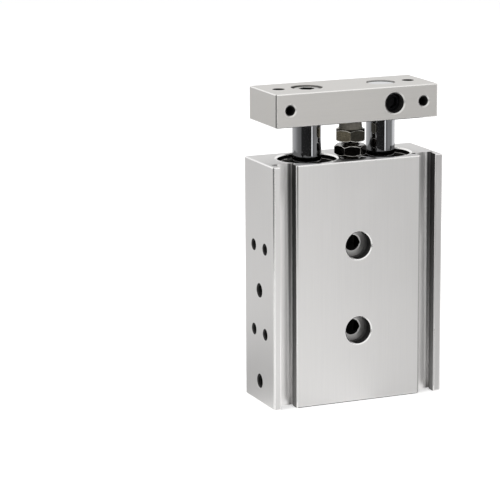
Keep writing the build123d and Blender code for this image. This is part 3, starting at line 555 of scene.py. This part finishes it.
def makeStuff(name, look):
    material, tree, shader, point = newMaterial(name, Metallic=look.get("metal", 0.0),
                                                Specular_IOR_Level=look.get("specular", 0.5))
    fine = useGroup(tree, grain, Point=point, Stretch=look.get("stretch", (1, 1, 1)), Scale=look["scale"],
                    Detail=4.0)["Value"]
    soft = useGroup(tree, handling, Point=point, Size=0.004)["Patch"]
    share = times(tree, spread(tree, fine, 0.3, 0.75, 0.0, 1.0), soft)
    colour = mixColour(tree, share, look["colour"], look["dark"])
    x, y, z = partsOf(tree, point)
    if "innerHighlight" in look:
        # painted highlight: bright on the upper face, where the distance to the nearer bore's axis is
        # between inner and outer
        middle, inner, outer, upper = look["innerHighlight"]
        away = distanceFrom(tree, folded(tree, x, 0.0, middle), y)
        edge = times(tree, within(tree, away, inner, outer, 0.08 * mm), within(tree, z, upper, 1.0))
        colour = mixColour(tree, edge, colour, (0.95, 0.93, 0.90, 1))
    if "socket" in look:
        # painted shade: dark inside the socket, less than radius from the axis and just below the top
        middle, radius, top = look["socket"]
        away = distanceFrom(tree, minus(tree, x, middle), y)
        inside = times(tree, within(tree, away, -1.0, radius), within(tree, z, -1.0, top))
        colour = mixColour(tree, times(tree, inside, 0.95), colour, (0.01, 0.01, 0.01, 1))
    tree.links.new(colour, shader.inputs["Base Color"])
    rough = spread(tree, fine, 0.3, 0.7, look["rough"] - 0.05, look["rough"] + 0.07)
    tree.links.new(rough, shader.inputs["Roughness"])
    bumpInto(tree, shader, fine, look["bump"], 0.00002)
    return material


stuffs = {name: makeStuff(name, look) for name, look in stuffLook.items()}

# Hard chrome: nearly a mirror, with faint grinding lines round the rod
chromeLook = {"colour": (0.46, 0.465, 0.48, 1), "rough": 0.06}


def makeChrome():
    material, tree, shader, point = newMaterial("rodChrome", Metallic=1.0)
    lines = useGroup(tree, grain, Point=point, Stretch=(0.05, 0.05, 1.0), Scale=5000.0, Detail=3.0)["Value"]
    soft = useGroup(tree, handling, Point=point, Size=0.006)["Patch"]
    tone = greyColour(tree, spread(tree, soft, 0.3, 0.7, 0.96, 1.04))
    tree.links.new(mixColour(tree, 1.0, chromeLook["colour"], tone, blend="MULTIPLY"),
                   shader.inputs["Base Color"])
    rough = spread(tree, lines, 0.3, 0.7, chromeLook["rough"] - 0.02, chromeLook["rough"] + 0.03)
    tree.links.new(rough, shader.inputs["Roughness"])
    bumpInto(tree, shader, lines, 0.5, 0.000008)
    return material


rodChrome = makeChrome()


# Hexagons of the stop: dark polished flats, with a painted highlight where a cone cuts the corners, and
# brighter down the corners themselves; split parts a painted lit side from a painted shaded side, left and
# right, and the thread, painted dark as shade, lies inside threadEdge
hexSteelLook = {
    "nutSteel": {"left": (0.035, 0.031, 0.028, 1), "right": (0.045, 0.036, 0.030, 1), "split": 2.0 * mm,
                 "cornerBrightness": 0.35, "rough": 0.10},
    "adjusterSteel": {"left": (0.30, 0.265, 0.19, 1), "right": (0.085, 0.08, 0.065, 1), "split": -2.4 * mm,
                      "cornerBrightness": 0.1, "rough": 0.16},
    "bright": (0.86, 0.84, 0.80, 1), "thread": (0.055, 0.05, 0.042, 1), "threadEdge": 3.4 * mm,
}


def makeHexSteel(name, low, high, corner):
    look = hexSteelLook[name]
    material, tree, shader, point = newMaterial(name)
    fine = useGroup(tree, grain, Point=point, Scale=1500.0, Detail=4.0)["Value"]
    soft = useGroup(tree, handling, Point=point, Size=0.003)["Patch"]
    x, y, z = partsOf(tree, vectorNode(tree, "SUBTRACT", point, stopPlace))
    radius = distanceFrom(tree, x, y)
    # how far the surface is from the cone that grows from faceRadius at an end to the corners at coneDepth
    depth = mathNode(tree, "MINIMUM", minus(tree, z, low), minus(tree, high, z))
    cornerRadius = hexLook["flats"] / 2 / cos(pi / 6)
    slope = (cornerRadius - hexLook["faceRadius"]) / hexLook["coneDepth"]
    cone = mathNode(tree, "MULTIPLY_ADD", depth, slope, hexLook["faceRadius"])
    offCone = mathNode(tree, "ABSOLUTE", minus(tree, radius, cone))
    # how far in from its flat a point is: half the width across flats less radius times the cosine of the
    # angle from the middle of the flat
    turn = mathNode(tree, "MODULO",
                    mathNode(tree, "ADD", mathNode(tree, "ARCTAN2", y, x), 4 * pi - radians(corner)),
                    pi / 3)
    apothem = times(tree, radius, mathNode(tree, "COSINE", minus(tree, turn, pi / 6)))
    inFromFlat = minus(tree, hexLook["flats"] / 2, apothem)
    # painted highlight on the cone's cut across the corners
    bright = times(tree, spread(tree, offCone, 0.06 * mm, 0.14 * mm, 1.0, 0.0),
                   spread(tree, inFromFlat, 0.06 * mm, 0.16 * mm, 1.0, 0.0))
    edge = spread(tree, radius, cornerRadius - 0.1 * mm, cornerRadius - 0.05 * mm, 0.0, look["cornerBrightness"])
    bright = larger(tree, bright, edge)
    bright = times(tree, bright, spread(tree, soft, 0.35, 0.55, 0.25, 1.0))
    # painted light and shade: the flats lighter on one side of split than on the other
    flats = mixColour(tree, spread(tree, x, look["split"] - 0.1 * mm, look["split"] + 0.1 * mm, 0.0, 1.0),
                      look["left"], look["right"])
    flats = mixColour(tree, 1.0, flats, greyColour(tree, spread(tree, fine, 0.3, 0.7, 0.8, 1.15)),
                      blend="MULTIPLY")
    # painted shade: the thread darker than the flats
    threadEdge = hexSteelLook["threadEdge"]
    inShadedThread = spread(tree, radius, threadEdge - 0.05 * mm, threadEdge, 1.0, 0.0)
    colour = mixColour(tree, inShadedThread, mixColour(tree, bright, flats, hexSteelLook["bright"]),
                       hexSteelLook["thread"])
    tree.links.new(colour, shader.inputs["Base Color"])
    tree.links.new(spread(tree, bright, 0.0, 0.6, 1.0, 0.15), shader.inputs["Metallic"])
    tree.links.new(spread(tree, fine, 0.3, 0.7, look["rough"] - 0.03, look["rough"] + 0.05),
                   shader.inputs["Roughness"])
    bumpInto(tree, shader, fine, 0.1, 0.00001)
    return material


print("materials made")


# Surfaces as rings of points round an axis: point = place + turn (r cos a, r sin a, h),
# where r and h are arrays with one row for each ring and one column for each angle
def ringPoints(radius, height, angle, place=(0, 0, 0), turn=None):
    radius, height, angle = np.broadcast_arrays(radius, height, angle)
    local = np.stack([radius * np.cos(angle), radius * np.sin(angle), height], axis=-1)
    if turn is not None:
        local = local @ np.array(turn, float)      # rows of turn: where local x, y and z point
    return local + np.array(place, float)


# Quads between neighbouring rings, joined round the axis, and from the last ring to the first if looped
def ringQuads(rows, columns, looped=False):
    row = np.arange(rows if looped else rows - 1)[:, None]
    column = np.arange(columns)[None, :]
    nextRow = (row + 1) % rows
    nextColumn = (column + 1) % columns
    corners = [row * columns + column, row * columns + nextColumn, nextRow * columns + nextColumn,
               nextRow * columns + column]
    return np.stack([np.broadcast_to(c, (len(row), columns)) for c in corners], axis=-1).reshape(-1, 4)


# One mesh object from several point grids; doubles at poles are merged and the faces turned outwards
def gridObject(name, grids, sharpAngle=32.0, bevel=0.0, looped=False):
    points, quads, start = [], [], 0
    for grid in grids:
        rows, columns = grid.shape[:2]
        points.append(grid.reshape(-1, 3))
        quads.append(ringQuads(rows, columns, looped) + start)
        start += rows * columns
    mesh = bpy.data.meshes.new(name)
    mesh.from_pydata(np.concatenate(points).tolist(), [], np.concatenate(quads).tolist())
    shape = bmesh.new()
    shape.from_mesh(mesh)
    bmesh.ops.remove_doubles(shape, verts=shape.verts, dist=1e-7)
    bmesh.ops.recalc_face_normals(shape, faces=shape.faces)
    shape.to_mesh(mesh)
    shape.free()
    mesh.shade_smooth()
    mesh.set_sharp_from_angle(angle=radians(sharpAngle))
    made = bpy.data.objects.new(name, mesh)
    scene.collection.objects.link(made)
    if bevel:
        rounding = made.modifiers.new("softEdges", "BEVEL")
        rounding.width = bevel
        rounding.segments = 2
        rounding.limit_method = "ANGLE"
        rounding.angle_limit = radians(sharpAngle)
        rounding.harden_normals = True
    return made


def dress(made, body, slotName, material, *stoodFor):
    made.data.materials.clear()
    made.data.materials.append(material)
    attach(made, body)
    if stoodFor:
        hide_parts(*stoodFor)


def columnAngles(columns, firstAngle=0.0):
    return firstAngle + np.arange(columns) * 2 * pi / columns


# Radius of a polygon with the given width across flats, in the direction of each angle:
# half the width over the cosine of the angle from the middle of its flat
def flatSided(angle, acrossFlats, firstCorner, sides=6):
    step = 2 * pi / sides
    fromMiddle = np.mod(angle - firstCorner, step) - step / 2
    return acrossFlats / 2 / np.cos(fromMiddle)


# Thread: radius rises from root to crest and back once in a pitch, with flats at both,
# and the ridge climbs one pitch in a turn
def threadRadius(height, angle, root, crest, pitch):
    phase = np.mod(height / pitch - angle / (2 * pi), 1.0)
    ridge = np.clip(1.7 * np.abs(2 * phase - 1) - 0.35, 0.0, 1.0)
    return root + (crest - root) * ridge


# A stack of rings from (radius, height) pairs, where a radius may be a number or one value for each angle
def stack(pairs, angle):
    radius = np.stack([np.broadcast_to(r, angle.shape) for r, h in pairs])
    height = np.stack([np.broadcast_to(h, angle.shape) for r, h in pairs])
    return radius, height


# Rods: turned bars with broken edges and a blind hole in the foot for the piston screw
rodLook = {"columns": 160, "edge": 0.6 * mm, "boreRadius": 2.52 * mm,
           "boreDepth": 10 * mm, "boreTip": 12 * mm}


def makeRod(name):
    low, high = boxOf(name)
    centre = (low + high) / 2
    radius = (high[0] - low[0]) / 2
    edge = rodLook["edge"]
    angle = columnAngles(rodLook["columns"])
    pairs = [(0.0, low[2] + rodLook["boreTip"]), (rodLook["boreRadius"], low[2] + rodLook["boreDepth"]),
             (rodLook["boreRadius"], low[2]), (radius - edge, low[2]), (radius, low[2] + edge)]
    span = np.linspace(low[2] + edge, high[2] - edge, 12)[1:]
    pairs += [(radius, h) for h in span]
    pairs += [(radius - edge, high[2]), (0.0, high[2])]
    rings, heights = stack(pairs, angle)
    made = gridObject(f"{name}_bar", [ringPoints(rings, heights, angle, (centre[0], centre[1], 0))])
    dress(made, "slide_unit", "rod_chrome", rodChrome, name)
    return centre[0]


makeRod("rod_a")
rodBX = makeRod("rod_b")
print("rods made")


# Lock nut and adjusting screw: hexagons whose corners a cone rounds at both ends
hexLook = {
    "flats": 9.8 * mm, "faceRadius": 4.83 * mm, "coneDepth": 0.6 * mm, "columnsPerFlat": 16,
    "nutCorner": 43.0, "headCorner": 5.0,      # degrees from +X to a corner
    "threadCrest": 3.0 * mm, "threadRoot": 2.46 * mm, "pitch": 1.0 * mm, "ringsPerPitch": 12,
    "holeRadius": 3.05 * mm, "holeCone": 0.35 * mm, "softEdge": 0.06 * mm,
    "headHeight": 4.0 * mm, "pinHole": 2.06 * mm, "pinDepth": 2.6 * mm,      # for the bumper's pin
}


# Pairs for one hexagon from low to high: the round face, where cone and flat meet, and the other end.
# The cone's radius is faceRadius at the end face and grows to the corners' radius at coneDepth.
def hexagonPairs(angle, corner, low, high):
    side = flatSided(angle, hexLook["flats"], radians(corner))
    cornerRadius = hexLook["flats"] / 2 / np.cos(pi / 6)
    share = (side - hexLook["faceRadius"]) / (cornerRadius - hexLook["faceRadius"])
    meet = share * hexLook["coneDepth"]
    return [(hexLook["faceRadius"], low), (side, low + meet), (side, high - meet),
            (hexLook["faceRadius"], high)]


def makeLockNut():
    low, high = boxOf("lock_nut")
    angle = columnAngles(6 * hexLook["columnsPerFlat"], radians(hexLook["nutCorner"]))
    hole, cone = hexLook["holeRadius"], hexLook["holeCone"]
    pairs = [(hole, low[2] + cone), (hole + cone, low[2])]
    pairs += hexagonPairs(angle, hexLook["nutCorner"], low[2], high[2])
    pairs += [(hole + cone, high[2]), (hole, high[2] - cone)]
    rings, heights = stack(pairs, angle)
    made = gridObject("lock_nut_hexagon", [ringPoints(rings, heights, angle, stopPlace)],
                      bevel=hexLook["softEdge"], looped=True)
    steel = makeHexSteel("nutSteel", float(low[2]), float(high[2]), hexLook["nutCorner"])
    dress(made, "lock_nut", "nut_steel", steel, "lock_nut")


def makeAdjustingScrew():
    low, high = boxOf("adjusting_screw")
    headLow = high[2] - hexLook["headHeight"]
    hole, floor = hexLook["pinHole"], high[2] - hexLook["pinDepth"]
    angle = columnAngles(6 * hexLook["columnsPerFlat"], radians(hexLook["headCorner"]))
    crest, root, pitch = hexLook["threadCrest"], hexLook["threadRoot"], hexLook["pitch"]
    heights = np.arange(low[2] + 0.4 * mm, headLow - 0.15 * mm, pitch / hexLook["ringsPerPitch"])[:, None]
    thread = threadRadius(heights, angle[None, :], root, crest, pitch)
    fade = np.clip((headLow - 0.15 * mm - heights) / (0.5 * pitch), 0.0, 1.0)
    thread = root + (thread - root) * fade
    foot, footHeight = stack([(0.0, low[2]), (root - 0.2 * mm, low[2])], angle)
    pairs = [(root, headLow - 0.1 * mm), (root + 0.1 * mm, headLow)]
    pairs += hexagonPairs(angle, hexLook["headCorner"], headLow, high[2])
    pairs += [(hole + 0.14 * mm, high[2]), (hole, high[2] - 0.15 * mm), (hole, floor), (0.0, floor)]
    head, headHeight = stack(pairs, angle)
    rings = np.concatenate([foot, thread, head])
    tall = np.concatenate([footHeight, np.broadcast_to(heights, thread.shape), headHeight])
    made = gridObject("adjusting_screw_turned", [ringPoints(rings, tall, angle, stopPlace)], sharpAngle=38.0)
    steel = makeHexSteel("adjusterSteel", float(headLow), float(high[2]), hexLook["headCorner"])
    dress(made, "adjusting_screw", "adjuster_steel", steel, "adjusting_screw")


makeLockNut()
makeAdjustingScrew()


# Bumper: moulded rubber, tapered towards the plate, with a rounded top edge and a pin below
bumperLook = {
    "columns": 96, "pinRadius": 2.0 * mm, "topRadius": 3.75 * mm, "edge": 0.4 * mm, "foot": 0.15 * mm,
    "lineDown": 1.6 * mm, "lineDepth": 0.06 * mm, "lineHalf": 0.1 * mm,
}


def makeBumper():
    low, high = boxOf("bumper")
    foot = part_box("adjusting_screw")[1][2]
    wide = (high[0] - low[0]) / 2
    edge = bumperLook["edge"]
    angle = columnAngles(bumperLook["columns"])
    pairs = [(0.0, low[2]), (bumperLook["pinRadius"], low[2]), (bumperLook["pinRadius"], foot)]
    pairs += [(wide - bumperLook["foot"], foot), (wide, foot + bumperLook["foot"])]
    # the mould's parting line, a shallow groove on the taper
    line = high[2] - bumperLook["lineDown"]
    side = bumperLook["topRadius"] + (wide - bumperLook["topRadius"]) * (high[2] - line) / (high[2] - foot)
    half = bumperLook["lineHalf"]
    pairs += [(side, line - half), (side - bumperLook["lineDepth"], line), (side, line + half)]
    sweep = np.linspace(0, pi / 2, 7)
    pairs += [(bumperLook["topRadius"] - edge * (1 - np.cos(s)),
               high[2] - edge * (1 - np.sin(s))) for s in sweep]
    pairs += [(0.0, high[2])]
    rings, heights = stack(pairs, angle)
    made = gridObject("bumper_moulded", [ringPoints(rings, heights, angle, stopPlace)])
    dress(made, "bumper", "bumper_rubber", stuffs["bumperRubber"], "bumper")


makeBumper()
print("stop made")


# Screws with a hexagon socket: rings go from the tip up the shank, round the head and into the socket
socketLook = {
    "plateScrew": {"columns": 216, "ridges": 36, "ridge": 0.12 * mm, "head": 5.0 * mm,
                   "headHeight": 6.0 * mm, "shank": 3.0 * mm, "socket": 5.0 * mm, "depth": 3.0 * mm,
                   "edge": 0.35 * mm},
    "clampScrew": {"columns": 96, "radius": 3.38 * mm, "socket": 4.0 * mm, "depth": 2.0 * mm,
                   "edge": 0.4 * mm, "pitch": 1.0 * mm},
    "plug": {"columns": 60, "socket": 2.5 * mm, "depth": 1.6 * mm, "edge": 0.25 * mm, "pitch": 0.8 * mm},
}


def socketPairs(angle, look, top):
    side = flatSided(angle, look["socket"], radians(30))
    brim = flatSided(angle, look["socket"] + 0.2 * mm, radians(30))
    floor = top - look["depth"]
    return [(brim, top), (side, top - 0.1 * mm), (side, floor), (0.0, floor - look["socket"] * 0.2)]


def makePlateScrew():
    look = socketLook["plateScrew"]
    low, high = boxOf("plate_screw")
    centre = (low + high) / 2
    seat = high[2] - look["headHeight"]
    angle = columnAngles(look["columns"], radians(30))
    ridges = look["head"] - look["ridge"] * np.abs(np.sin(angle * look["ridges"] / 2))
    pairs = [(0.0, low[2]), (look["shank"] - look["edge"], low[2]), (look["shank"], low[2] + look["edge"]),
             (look["shank"], seat), (look["head"] - look["edge"], seat), (ridges, seat + look["edge"]),
             (ridges, high[2] - 2 * look["edge"]), (look["head"] - look["edge"], high[2] - look["edge"] / 2),
             (look["head"] - 2 * look["edge"], high[2])]
    pairs += socketPairs(angle, look, high[2])
    rings, heights = stack(pairs, angle)
    made = gridObject("plate_screw_socket_head",
                      [ringPoints(rings, heights, angle, (centre[0], centre[1], 0))])
    dress(made, "slide_unit", "socket_steel", stuffs["socketSteel"], "plate_screw")


# Headless screws lie along an axis: local Z points out of the hole
def headless(radius, length, look):
    angle = columnAngles(look["columns"], radians(30))
    heights = np.arange(-length + look["edge"], -look["edge"], look["pitch"] / 10)[:, None]
    thread = threadRadius(heights, angle[None, :], radius - 0.5 * look["pitch"] * 0.6, radius, look["pitch"])
    start, startHeight = stack([(0.0, -length), (radius - 1.6 * look["edge"], -length)], angle)
    end, endHeight = stack([(radius - 1.6 * look["edge"], 0.0)] + socketPairs(angle, look, 0.0), angle)
    rings = np.concatenate([start, thread, end])
    tall = np.concatenate([startHeight, np.broadcast_to(heights, thread.shape), endHeight])
    return rings, tall, angle


outOfFront = [(1, 0, 0), (0, 0, 1), (0, -1, 0)]      # where local x, y and z of such a screw point
outOfRight = [(0, 1, 0), (0, 0, 1), (1, 0, 0)]
outOfLeft = [(0, -1, 0), (0, 0, 1), (-1, 0, 0)]


def makeClampScrew():
    look = socketLook["clampScrew"]
    low, high = boxOf("clamp_screw")
    rings, tall, angle = headless(look["radius"], high[1] - low[1], look)
    place = ((low[0] + high[0]) / 2, low[1], (low[2] + high[2]) / 2)
    made = gridObject("clamp_screw_headless", [ringPoints(rings, tall, angle, place, outOfFront)])
    dress(made, "slide_unit", "dark_steel", stuffs["darkSteel"], "clamp_screw")


makePlateScrew()
makeClampScrew()


# Ports and tapped holes, as the frame has them: heights, spread, drill radius, depth and pitch
holeLook = {
    "side": {"radius": 1.65 * mm, "depth": 6.0 * mm, "pitch": 0.7 * mm, "ridge": 0.2 * mm},
    "port": {"radius": 2.1 * mm, "depth": 5.0 * mm, "pitch": 0.8 * mm, "ridge": 0.22 * mm},
    "plateFront": {"radius": 1.65 * mm, "depth": 8.0 * mm, "pitch": 0.7 * mm, "ridge": 0.2 * mm},
    "plateTop": {"radius": 1.65 * mm, "depth": 11.5 * mm, "pitch": 0.7 * mm, "ridge": 0.2 * mm},
    "clamp": {"radius": 3.4 * mm, "depth": 2.9 * mm, "pitch": 1.0 * mm, "ridge": 0.3 * mm},
    "cone": 0.5 * mm, "columns": 48, "ringsPerPitch": 8, "skin": 0.012 * mm,
    "mountHeights": (25.3 * mm, 55.3 * mm), "sideSpread": 4.8 * mm, "portHeights": (7.7 * mm, 40.0 * mm),
    "plateFrontX": 25.0 * mm, "plateTopX": 24.5 * mm,
}


# Lining of a tapped hole: a helical inner wall and a plain outer wall just inside the drilled one
def lining(kind, place, turn):
    look = holeLook[kind]
    angle = columnAngles(holeLook["columns"])
    outer = look["radius"] - holeLook["skin"]
    heights = np.arange(-holeLook["cone"], -look["depth"] + 0.1 * mm,
                        -look["pitch"] / holeLook["ringsPerPitch"])[:, None]
    inner = threadRadius(heights, angle[None, :], outer - 0.02 * mm, outer - look["ridge"], look["pitch"])
    deepest = -look["depth"] + 0.05 * mm
    start, startHeight = stack([(outer, -holeLook["cone"] + 0.02 * mm)], angle)
    end, endHeight = stack([(outer - look["ridge"], deepest), (outer, deepest)], angle)
    rings = np.concatenate([start, inner, end])
    tall = np.concatenate([startHeight, np.broadcast_to(heights, inner.shape), endHeight])
    return ringPoints(rings, tall, angle, place, turn)


def makeHousingLinings():
    grids = []
    for turn, x in ((outOfLeft, housingLow[0]), (outOfRight, housingHigh[0])):
        for z in holeLook["mountHeights"]:
            for y in (-holeLook["sideSpread"], holeLook["sideSpread"]):
                grids.append(lining("side", (x, y, z), turn))
    for z in holeLook["portHeights"]:
        grids.append(lining("port", (housingLow[0], 0, z), outOfLeft))
    made = gridObject("housing_threads", grids, looped=True)
    dress(made, "housing", "anodised_alloy", stuffs["tappedAlloyShaded"])


def makePlateLinings():
    middle = (plateLow[2] + plateHigh[2]) / 2
    grids = [lining("clamp", (rodBX, plateLow[1], middle), outOfFront)]
    for side in (-1, 1):
        grids.append(lining("plateFront", (side * holeLook["plateFrontX"], plateLow[1], middle), outOfFront))
        grids.append(lining("plateTop", (side * holeLook["plateTopX"], 0, plateHigh[2]), None))
    made = gridObject("plate_threads", grids, looped=True)
    dress(made, "slide_unit", "plate_alloy", stuffs["tappedAlloyShaded"])


def makePortPlugs():
    look = socketLook["plug"]
    low, high = boxOf("port_plugs")
    radius = (high[1] - low[1]) / 2
    rings, tall, angle = headless(radius, high[0] - low[0], look)
    grids = [ringPoints(rings, tall, angle, (high[0], 0, z), outOfRight) for z in holeLook["portHeights"]]
    made = gridObject("port_plugs_threaded", grids)
    dress(made, "housing", "plated_steel", stuffs["platedSteel"], "port_plugs")


makeHousingLinings()
makePlateLinings()
makePortPlugs()
print("screws and tapped holes made")


# The frame's own nodes that stay on show
nodeFinish = {
    "housing": housingAlloy, "end_plate": plateAlloy, "rod_cover": stuffs["bearingAlloy"],
    "rod_cover_o_ring": stuffs["blackRubber"], "rod_seal": stuffs["blackRubber"],
    "seal_retainer": stuffs["glossBlack"], "rod_ring": stuffs["springSteel"],
    "head_ring": stuffs["springSteel"], "head_cover": stuffs["coverAlloy"],
    "head_cover_o_ring": stuffs["blackRubber"], "piston": stuffs["coverAlloy"],
    "piston_seal": stuffs["blackRubber"], "magnet": stuffs["magnetFerrite"],
    "guide_ring": stuffs["guideResin"], "dampers": stuffs["bumperRubber"],
    "piston_screw": stuffs["socketSteel"],
}
for name, shown in cadNodes.items():
    kind = name if name in nodeFinish else name.rsplit("_", 1)[0]
    if kind in nodeFinish:
        shown.data.materials.clear()
        shown.data.materials.append(nodeFinish[kind])


# Stage: a pale floor that turns to plain white for the camera, and cards that only reflections see,
# as the flags and strip lights round a table: an upright ring, and mats that lie on the floor inside it
stageLook = {
    "floorSize": 6.0, "floorColour": (0.86, 0.86, 0.86, 1), "cameraLift": 0.36,
    "ringRadius": 0.36, "ringHeight": 0.07,
    "matInner": 0.012, "matFoot": 0.07, "matNear": 0.14, "matFar": 0.26,      # distances from the middle
    # direction in degrees from +X seen from above, and how bright the card is there
    "ring": [(0, 1.05), (20, 1.05), (40, 0.85), (95, 0.80), (113, 0.70), (146, 0.54), (163, 0.36),
             (173, 0.27), (182, 0.22), (193, 0.24), (200, 0.14), (207, 0.03), (277, 0.02), (281.5, 0.06),
             (282.7, 1.9), (288.2, 1.9), (289.5, 0.24), (303, 0.26), (312, 0.34), (338, 0.32), (350, 0.5),
             (360, 1.05)],
    "foot": [(0, 0.9), (100, 0.78), (125, 0.60), (150, 0.55), (179.9, 0.75), (180, 0.75), (193, 0.9),
             (250, 1.05), (280, 1.04), (292, 0.94), (300, 0.84), (320, 0.8), (360, 0.9)],
    "near": [(0, 0.9), (100, 0.92), (125, 0.84), (150, 0.7), (179.9, 0.8), (180, 0.8), (193, 0.9),
             (250, 1.05), (280, 1.13), (292, 1.08), (300, 0.85), (320, 0.75), (360, 0.9)],
    "far": [(0, 0.9), (100, 0.85), (125, 0.80), (150, 0.80), (179.9, 0.85), (180, 0.85), (190, 0.8),
            (196, 0.05), (212, 0.05), (219, 0.9), (250, 1.0), (285, 1.12), (298, 0.50), (320, 0.7),
            (360, 0.9)],
}


def makeFloor():
    half = stageLook["floorSize"] / 2
    mesh = bpy.data.meshes.new("floor")
    mesh.from_pydata([(-half, -half, 0), (half, -half, 0), (half, half, 0), (-half, half, 0)], [],
                     [(0, 1, 2, 3)])
    floor = bpy.data.objects.new("floor", mesh)
    scene.collection.objects.link(floor)
    material = bpy.data.materials.new("floorPaper")
    material.use_nodes = True
    tree = material.node_tree
    shader = tree.nodes["Principled BSDF"]
    shader.inputs["Base Color"].default_value = stageLook["floorColour"]
    shader.inputs["Roughness"].default_value = 0.9
    shader.inputs["Specular IOR Level"].default_value = 0.1
    lift = times(tree, seenShare(tree), stageLook["cameraLift"])
    glow = addNode(tree, "ShaderNodeEmission", {"Color": (1, 1, 1, 1), "Strength": lift}).outputs[0]
    both = addNode(tree, "ShaderNodeAddShader", {0: shader.outputs[0], 1: glow}).outputs[0]
    tree.links.new(both, tree.nodes["Material Output"].inputs["Surface"])
    mesh.materials.append(material)


# 1 for rays from the camera, from a reflection and through glass, 0 for the rest
def seenShare(tree):
    rays = addNode(tree, "ShaderNodeLightPath").outputs
    bounced = larger(tree, rays["Is Glossy Ray"], rays["Is Transmission Ray"])
    return larger(tree, rays["Is Camera Ray"], bounced)


# Cards: rings of points from (radius, height) pairs, which glow by their direction from the middle
def makeCards(name, pairs, levels):
    angle = columnAngles(180)
    radius, height = stack(pairs, angle)
    cards = gridObject(name, [ringPoints(radius, height, angle)])
    material = bpy.data.materials.new(name)
    material.use_nodes = True
    tree = material.node_tree
    tree.nodes.remove(tree.nodes["Principled BSDF"])
    point = addNode(tree, "ShaderNodeTexCoord").outputs["Object"]
    direction = addNode(tree, "ShaderNodeTexGradient", {0: point}, gradient_type="RADIAL").outputs["Fac"]
    curves = [rampOf(tree, direction,
                     [(((degrees + 180) % 360) / 360, level) for degrees,
                      level in table[:-1]]) for table in levels]
    strength = curves[0]
    away = addNode(tree, "ShaderNodeVectorMath", {0: point}, operation="LENGTH").outputs["Value"]
    for curve, (start, end) in zip(curves[1:], (("matFoot", "matNear"), ("matNear", "matFar"))):
        strength = mixValue(tree, spread(tree, away, stageLook[start], stageLook[end], 0.0, 1.0), strength,
                            curve)
    glow = addNode(tree, "ShaderNodeEmission", {"Color": (1, 1, 1, 1), "Strength": strength}).outputs[0]
    tree.links.new(glow, tree.nodes["Material Output"].inputs["Surface"])
    cards.data.materials.append(material)
    cards.visible_camera = False
    cards.visible_diffuse = False
    cards.visible_shadow = False
    cards.visible_transmission = False


def makeWorld():
    world = bpy.data.worlds.new("studio")
    scene.world = world
    world.use_nodes = True
    tree = world.node_tree
    strength = spread(tree, seenShare(tree), 0.0, 1.0, 0.55, 1.0)
    background = tree.nodes["Background"]
    background.inputs["Color"].default_value = (1, 1, 1, 1)
    tree.links.new(strength, background.inputs["Strength"])


lampLook = {
    "overhead": {"place": (-0.1, 0.05, 1.1), "aim": (0, 0, 0.05), "size": 0.9, "watts": 9.0},
    "left": {"place": (-1.0, -0.35, 0.5), "aim": (0, 0, 0.05), "size": 0.6, "watts": 4.0},
}


def makeLamps():
    for name, look in lampLook.items():
        lamp = bpy.data.lights.new(name, "AREA")
        lamp.energy = look["watts"]
        lamp.size = look["size"]
        holder = bpy.data.objects.new(name, lamp)
        scene.collection.objects.link(holder)
        holder.location = look["place"]
        holder.visible_glossy = False
        aim = Vector(look["aim"]) - Vector(look["place"])
        holder.rotation_euler = aim.to_track_quat("-Z", "Y").to_euler()


makeFloor()
ringRadius, floorGap = stageLook["ringRadius"], 0.0005
makeCards("card_ring", [(ringRadius, floorGap), (ringRadius, stageLook["ringHeight"])], [stageLook["ring"]])
makeCards("card_mats", [(stageLook["matInner"], floorGap), (0.15, floorGap), (ringRadius, floorGap)],
          [stageLook["foot"], stageLook["near"], stageLook["far"]])
makeWorld()
makeLamps()
print("stage and lamps made")
